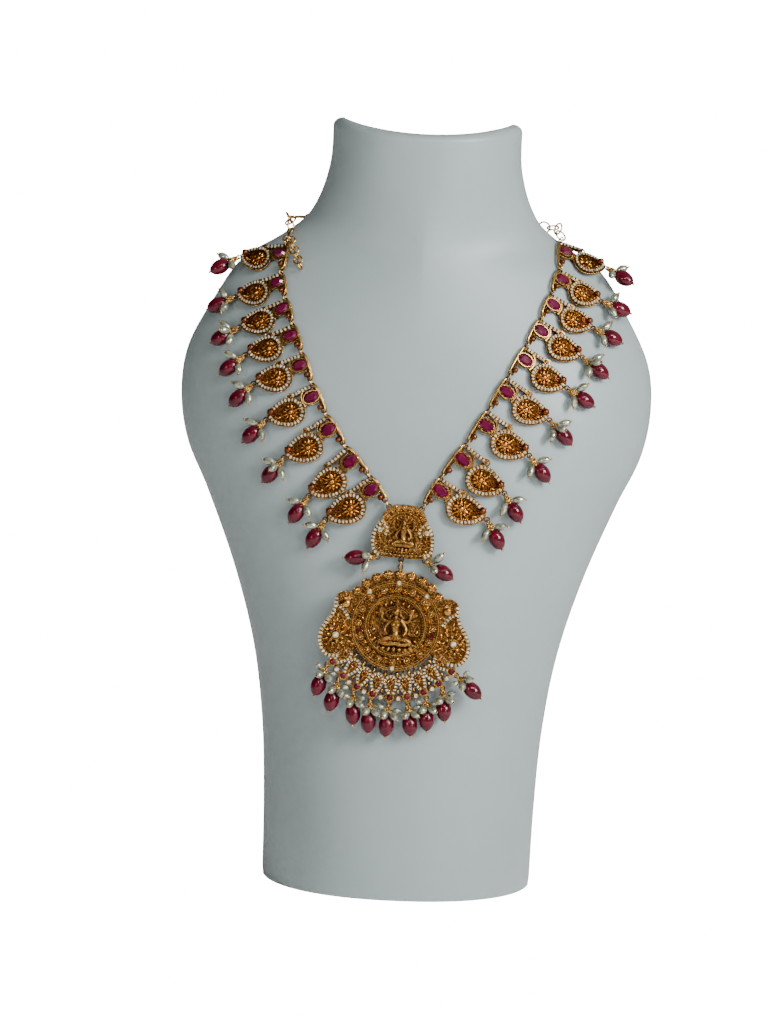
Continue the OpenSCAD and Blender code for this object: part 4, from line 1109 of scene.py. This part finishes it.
def model_disc(gold):
    """Rings, rosettes and arch of the round pendant"""
    for r, z in DISC_WIRES:
        gold.wire(DISC, arc(r, 0, 357, 120, z=z), 0.34, closed=True)
    for r, step, z, size in DISC_DOTS:
        dots(gold, DISC, arc(r, 0, 359, 120), step, z, size)
    between = (DISC_R + HALO_R) / 2 - 0.2
    for k in range(16):
        spot = DISC @ turned(22.5 * k)
        dot_ring(gold, spot, 8, 1.15, between, 0, 1.7, 0.42)
        dot(gold, spot, between, 0, 2.2, 0.7, "bead")
        half = DISC @ turned(22.5 * k + 11.25)
        for turn in (-52, 0, 52):
            leaf(gold, half, 13.5, 0, FACE, turn, 2.7, 1.3, 1.0)
        gold.wire(half, spiral(0.3, 1.0, 0, 330, 14, 15.6, 0, 1.2), 0.24)
    for turn in np.arange(-4, 5) * 15.5 + 90:
        leaf(gold, DISC, *polar(8.2, turn, 0, 0.4), FACE, turn, 2.4, 1.7, 1.1)
    dots(gold, DISC, arc(7.6, 15, 165, 40, 0, 0.4), 0.75, 1.3, 0.34, closed=False)
    gold.wire(DISC, arc(6.5, 10, 170, 30, 0, 0.6, 1.0), 0.32)
    for half in halves(DISC):
        leaf(gold, half, 5.2, 3.9, 1.6, 60, 4.6, 2.6, 1.2)
        dots(gold, half, curved(SIDE_JEWEL, 5, True), 0.62, 1.2, 0.28)
        dot(gold, half, 9.1, -2.2, 1.1, 0.85, "bead", 0.7)
        for x, y, turn in DISC_LEAVES:
            leaf(gold, half, x, y, FACE, turn, 2.4, 1.4, 0.9)
        gold.wire(half, spiral(0.3, 1.4, 90, 480, 22, 6.9, -8.2, 1.1), 0.28)
    for turn in (180, 138, -138, 0):
        dots(gold, DISC @ on_ring(DISC_R - 1, turn), arc(1.15, 0, 350), 0.6, 2.2, 0.26)


def model_crest(gold):
    """Nine leafy lobes over the disc"""
    lobe = DISC_R * 0.135
    for turn in np.arange(-4, 5) * 13.2 + 180:
        spot = DISC @ on_ring(DISC_R + lobe * 0.7, turn) @ turned(turn - 90)
        for spread in (-56, -28, 0, 28, 56):
            leaf(gold, spot, 0, 0, 0.55, spread, lobe * 1.08, 1.25, 0.9)
        rosette(gold, spot, 0.2, 0, 1.5, 1.3)
        dot(gold, spot, lobe * 0.95, 0, 0.8, 0.5, "bead")
        dots(gold, spot, arc(lobe * 0.98, -80, 80, 12), 0.8, 0.2, 0.36, closed=False)


def model_bird(gold, stones, half):
    """Feathers, flower, head and white-stone edge of a side bird"""
    stone_row(stones, gold, half, bird_edge(0.925, 4, 13), ornament("edge_stone"), 1.02, closed=False)
    stone_row(stones, gold, half, curved(HOOK), 1.35, 0.85, closed=False)
    dots(gold, half, bird_edge(1.0, 1, 14), 0.85, 0.4, 0.36, closed=False)
    dots(gold, half, bird_edge(0.82, 1, 14), 0.8, 0.95, 0.3, closed=False)
    flower = half @ shift(*BIRD_EYE * DISC_R)
    for k in range(7):
        petal = flower @ turned(360 / 7 * k)
        leaf(gold, petal, 1.7, 0, 1.0, 0, 2.5, 1.5, 0.9)
        dots(gold, petal, arc(0.95, 0, 340, 12, 3.7), 0.7, 0.95, 0.28)
        leaf(gold, flower @ turned(360 / 7 * (k + 0.5)), 3.1, 0, FACE, 0, 2.6, 1.5, 0.9)
    dots(gold, flower, arc(2.1, 0, 345), 0.7, 2.1, 0.32)
    for k in range(14):
        leaf(gold, flower @ turned(360 / 14 * k), 5.0, 0, FACE - 0.1, 0, 1.5, 0.95, 0.7)
    for reach, count in ((5.2, 5), (7.0, 6)):
        for turn in range(95, 95 + 28 * count, 28):
            leaf(gold, flower, *polar(reach, turn), FACE - 0.1, turn - 15, 2.3, 1.5, 0.8)
    head = half @ shift(DISC_R * 1.12, DISC_R * 0.4)
    dot(gold, head, 0, 0, 0.8, 2.0, "ball", 0.85)
    leaf(gold, head, 1.3, -0.3, 1.4, -25, 2.4, 1.3, 1.0)
    dot(gold, head, 0.6, 0.5, 2.3, 0.34, "bead")
    for turn, size in ((60, 2.6), (85, 3.0), (110, 3.0), (135, 2.6)):
        leaf(gold, head, 0, 0.9, 0.9, turn, size, 1.1, 0.8)
        dot(gold, head, *polar(size, turn, 0, 0.9), 1.1, 0.42)


def model_fringe(gold, stones, reds):
    """Stone arches, flowers and cups of the fringe"""
    for k in range(UNITS):
        turn = fringe_turn(k)
        arch = DISC @ turned(turn) @ shift(0, -(FRINGE_R - 1.4)) @ turned(180)
        line = mango_outline(-0.42, *SMALL_MANGO)
        stone_row(stones, gold, arch, line, ornament("fringe_stone"), 0.3, step=1.2)
        dots(gold, arch, mango_outline(0.05, *SMALL_MANGO), 0.62, -0.1, 0.28)
        rosette(gold, arch, 0, 0, 1.25, 1.5)
        for n in range(5):
            leaf(gold, arch, 0, 0, 0.5, 18 + 36 * n, 1.9 if n != 2 else 3.4, 1.0, 0.7)
        dot(reds, arch, 0, 0, 1.75, 0.52, "bead")
        cup = DISC @ on_ring(CAP_R, turn)
        dots(gold, cup, arc(1.5, 0, 350), 0.62, 0.75, 0.3)
        dots(gold, cup, arc(1.75, 0, 350), 0.75, 0.1, 0.36)
        foot = DISC @ on_ring(DROP_EYE_R - EYE_R - 0.1, turn)
        rosette(gold, foot, 0, 0, 0.35, 1.15)
        dot_ring(gold, foot, 8, 0.75, 0, 0, 0.85, 0.36)
        if k < UNITS - 1:
            between = DISC @ on_ring(CAP_R + 0.5, turn + FRINGE_STEP / 2)
            dots(gold, between, arc(1.22, 0, 350), 0.62, 0.6, 0.26)
            inner = DISC @ turned(turn + FRINGE_STEP / 2)
            leaf(gold, inner, 0, -(DISC_R + 0.4), 0.2, -90, 3.2, 1.6, 0.9)
            dot(gold, inner, 0, -(DISC_R + 4.4), 0.5, 0.6, "bead")
            leaf(gold, inner, 0, -(CAP_R - 1.0), 0.2, 90, 2.6, 1.4, 0.8)


def model_pendant():
    """Relief, figure, birds and fringe of the main pendant"""
    disc, fringe, figure, stones, reds = Pile(), Pile(), Pile(), Pile(), Pile()
    model_disc(disc)
    model_crest(disc)
    seated_figure(figure, DISC @ shift(0, -HALO_R * 0.76, FACE), HALO_R * 1.6)
    for half in halves(DISC):
        model_bird(fringe, stones, half)
    model_fringe(fringe, stones, reds)
    disc.piece("pendant_relief", "relief gold", "pendant", "gold")
    figure.piece("pendant_figure", "figure gold", "pendant", "gold", 60)
    fringe.piece("fringe_relief", "relief gold", "pendant", "gold")
    stones.piece("pendant_stone_rows", "white stone", "pendant", "crystal", 0)
    reds.piece("fringe_red_dots", "drop red", "pendant", "ruby", 60)


# ---------------------------------------------------------------- stage
FLOOR_SIZE, FLOOR_Z, WALL_HEIGHT = 16, -0.0002, 5
LIGHTS_AIM = (0, 0.02, 0.17)
CAMERA_AIM = (-0.0116, 0.02, 0.1622)
# Lights: place, width and height, the setting that holds the power
LIGHTS = {
    "key": ((1.0, -0.9, 0.8), (0.45, 0.45), "key_power"),
    "fill": ((-1.1, -0.9, 0.5), (0.9, 0.9), "fill_power"),
    "strip": ((0.55, -0.75, 1.1), (0.9, 0.1), "strip_power"),
    "glint_a": ((-0.1, -1.3, 0.95), (0.05, 0.05), "glint_power"),
    "glint_b": ((0.75, -1.4, 0.35), (0.05, 0.05), "glint_power"),
    "glint_c": ((0.5, -1.1, 1.2), (0.05, 0.05), "glint_power"),
    "glint_d": ((-0.8, -1.1, 0.45), (0.05, 0.05), "glint_power"),
}


def model_floor(brightness):
    """A pale floor with a wall behind it, bright only where the camera sees it"""
    select_only()
    bpy.ops.mesh.primitive_plane_add(size=FLOOR_SIZE, location=(0, 0, 0))
    floor = bpy.context.active_object
    floor.name = "floor"
    floor.data.transform(Matrix.Translation((0, 0, FLOOR_Z)))
    bpy.ops.object.mode_set(mode="EDIT")
    bpy.ops.mesh.select_all(action="DESELECT")
    bpy.ops.object.mode_set(mode="OBJECT")
    for edge in floor.data.edges:
        edge.select = all(floor.data.vertices[v].co.y > FLOOR_SIZE / 4 for v in edge.vertices)
    bpy.ops.object.mode_set(mode="EDIT")
    bpy.ops.mesh.select_mode(type="EDGE")
    bpy.ops.mesh.extrude_region_move(TRANSFORM_OT_translate={"value": (0, 0, WALL_HEIGHT)})
    bpy.ops.object.mode_set(mode="OBJECT")
    made, tree, shader = new_material("Pale floor")
    place = node(tree, "TexCoord").outputs["Object"]
    cloud = node(tree, "TexNoise", {"Vector": place, "Scale": 3.0, "Detail": 2.0}).outputs["Fac"]
    seen = node(tree, "LightPath").outputs["Is Camera Ray"]
    feed(tree, shader, {
        "Base Color": mixed(tree, cloud, rgba(WHITE[:3], 0.95), WHITE), "Roughness": 0.9,
        "Emission Color": WHITE, "Emission Strength": maths(tree, "MULTIPLY", seen, brightness)})
    floor.data.materials.append(made)


def model_world(strength):
    """White surroundings, brighter above and on the right"""
    world = bpy.data.worlds.new("Soft white")
    world.use_nodes = True
    tree = world.node_tree
    way = node(tree, "SeparateXYZ", {0: node(tree, "TexCoord").outputs["Generated"]}).outputs
    side = mapped(tree, way["X"], (-0.9, 0.9), (0.05, 1.45))
    above = mapped(tree, way["Z"], (-0.7, 0.8), (0.3, 1.5))
    both = maths(tree, "MULTIPLY", side, above)
    feed(tree, tree.nodes["Background"], {"Color": WHITE, "Strength": maths(tree, "MULTIPLY", both, strength)})
    bpy.context.scene.world = world


def model_light(name, place, size, power):
    bpy.ops.object.light_add(type="AREA", location=place)
    lamp = bpy.context.active_object
    lamp.name = name
    lamp.data.shape = "RECTANGLE"
    lamp.data.size, lamp.data.size_y = size
    lamp.data.energy = power
    lamp.rotation_euler = (Vector(LIGHTS_AIM) - Vector(place)).to_track_quat("-Z", "Y").to_euler()


def model_camera(stage):
    """The photo's camera: it looks down by the elevation and is turned by the roll"""
    rise, roll = stage.elevation, stage.roll
    back = Vector((0, -math.cos(rise), math.sin(rise)))
    level, plumb = Vector((1, 0, 0)), Vector((0, math.sin(rise), math.cos(rise)))
    right = math.cos(roll) * level + math.sin(roll) * plumb
    up = math.cos(roll) * plumb - math.sin(roll) * level
    seat = Vector(CAMERA_AIM) + stage.distance * back
    data = bpy.data.cameras.new("camera")
    data.lens = data.sensor_width * stage.distance / stage.view_height
    data.clip_end = 20
    camera = bpy.data.objects.new("camera", data)
    bpy.context.scene.collection.objects.link(camera)
    camera.matrix_world = Matrix.Translation(seat) @ Matrix((right, up, back)).transposed().to_4x4()
    bpy.context.scene.camera = camera


def model_stage():
    stage = bpy.context.scene.necklace_stage
    model_floor(stage.backdrop)
    model_world(stage.sky)
    for name, (place, size, power) in LIGHTS.items():
        model_light(name, place, size, getattr(stage, power))
    model_camera(stage)


# ---------------------------------------------------------------- add-on
class NECKLACE_OT_bust(bpy.types.Operator):
    """Model the display bust's smooth shell"""
    bl_idname = "necklace.bust"
    bl_label = "Display bust"

    def execute(self, context):
        model_bust()
        return {"FINISHED"}


class NECKLACE_OT_finishes(bpy.types.Operator):
    """Make the finishes and small shapes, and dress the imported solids"""
    bl_idname = "necklace.finishes"
    bl_label = "Finishes"

    def execute(self, context):
        model_shapes()
        SHAPES["drop"] = almond_shape()
        make_finishes()
        dress_nodes()
        return {"FINISHED"}


class NECKLACE_OT_chain(bpy.types.Operator):
    """Model the stones, relief and wires of the chain units on both sides"""
    bl_idname = "necklace.chain"
    bl_label = "Chain units"

    def execute(self, context):
        for name in SIDES:
            dress_chain(name)
        return {"FINISHED"}


class NECKLACE_OT_drops(bpy.types.Operator):
    """Model the clusters, collars and rubies of all drops"""
    bl_idname = "necklace.drops"
    bl_label = "Ruby drops"

    def execute(self, context):
        for name, side in SIDES.items():
            places = [(drop_frame(side, i), SIDE_PEARLS[:DROPS[side][i - 1][1]]) for i in range(1, UNITS + 1)]
            dress_drops(f"drops_{name}", f"drop_rubies_{name}", "stand", places)
        corners = [(corner_frame(*row), ways) for row, ways in zip(CORNER_DROPS, CORNER_PEARLS)]
        dress_drops("plaque_drops", "plaque_drop_rubies", "stand", corners)
        fringe = [(fringe_frame(k), FRINGE_PEARLS) for k in range(UNITS)]
        dress_drops("fringe_drops", "fringe_rubies", "pendant", fringe)
        model_seed_pearls()
        return {"FINISHED"}


class NECKLACE_OT_plaque(bpy.types.Operator):
    """Model the relief and stones of the upper pendant"""
    bl_idname = "necklace.plaque"
    bl_label = "Upper pendant"

    def execute(self, context):
        model_plaque()
        return {"FINISHED"}


class NECKLACE_OT_pendant(bpy.types.Operator):
    """Model the relief, birds, crest and fringe of the main pendant"""
    bl_idname = "necklace.pendant"
    bl_label = "Main pendant"

    def execute(self, context):
        model_pendant()
        return {"FINISHED"}


class NECKLACE_OT_stage(bpy.types.Operator):
    """Make the floor, lights and camera"""
    bl_idname = "necklace.stage"
    bl_label = "Stage"

    def execute(self, context):
        model_stage()
        return {"FINISHED"}


STEPS = (NECKLACE_OT_finishes, NECKLACE_OT_stage, NECKLACE_OT_bust, NECKLACE_OT_chain, NECKLACE_OT_drops,
         NECKLACE_OT_plaque, NECKLACE_OT_pendant)


class NECKLACE_PT_panel(bpy.types.Panel):
    bl_label = "Temple Necklace"
    bl_idname = "NECKLACE_PT_panel"
    bl_space_type = "VIEW_3D"
    bl_region_type = "UI"
    bl_category = "Necklace"

    def draw(self, context):
        for step in STEPS:
            self.layout.operator(step.bl_idname)


SETTINGS = (("necklace_bust", BustSizes), ("necklace_ornament", OrnamentSizes),
            ("necklace_colours", FinishColours), ("necklace_stage", StageSettings))


def register():
    for name, group in SETTINGS:
        bpy.utils.register_class(group)
        setattr(bpy.types.Scene, name, bpy.props.PointerProperty(type=group))
    for one in STEPS + (NECKLACE_PT_panel,):
        bpy.utils.register_class(one)


def unregister():
    for one in reversed(STEPS + (NECKLACE_PT_panel,)):
        bpy.utils.unregister_class(one)
    for name, group in reversed(SETTINGS):
        delattr(bpy.types.Scene, name)
        bpy.utils.unregister_class(group)


def main():
    register()
    for step in STEPS:
        family, name = step.bl_idname.split(".")
        getattr(getattr(bpy.ops, family), name)()


if __name__ == "__main__":
    main()
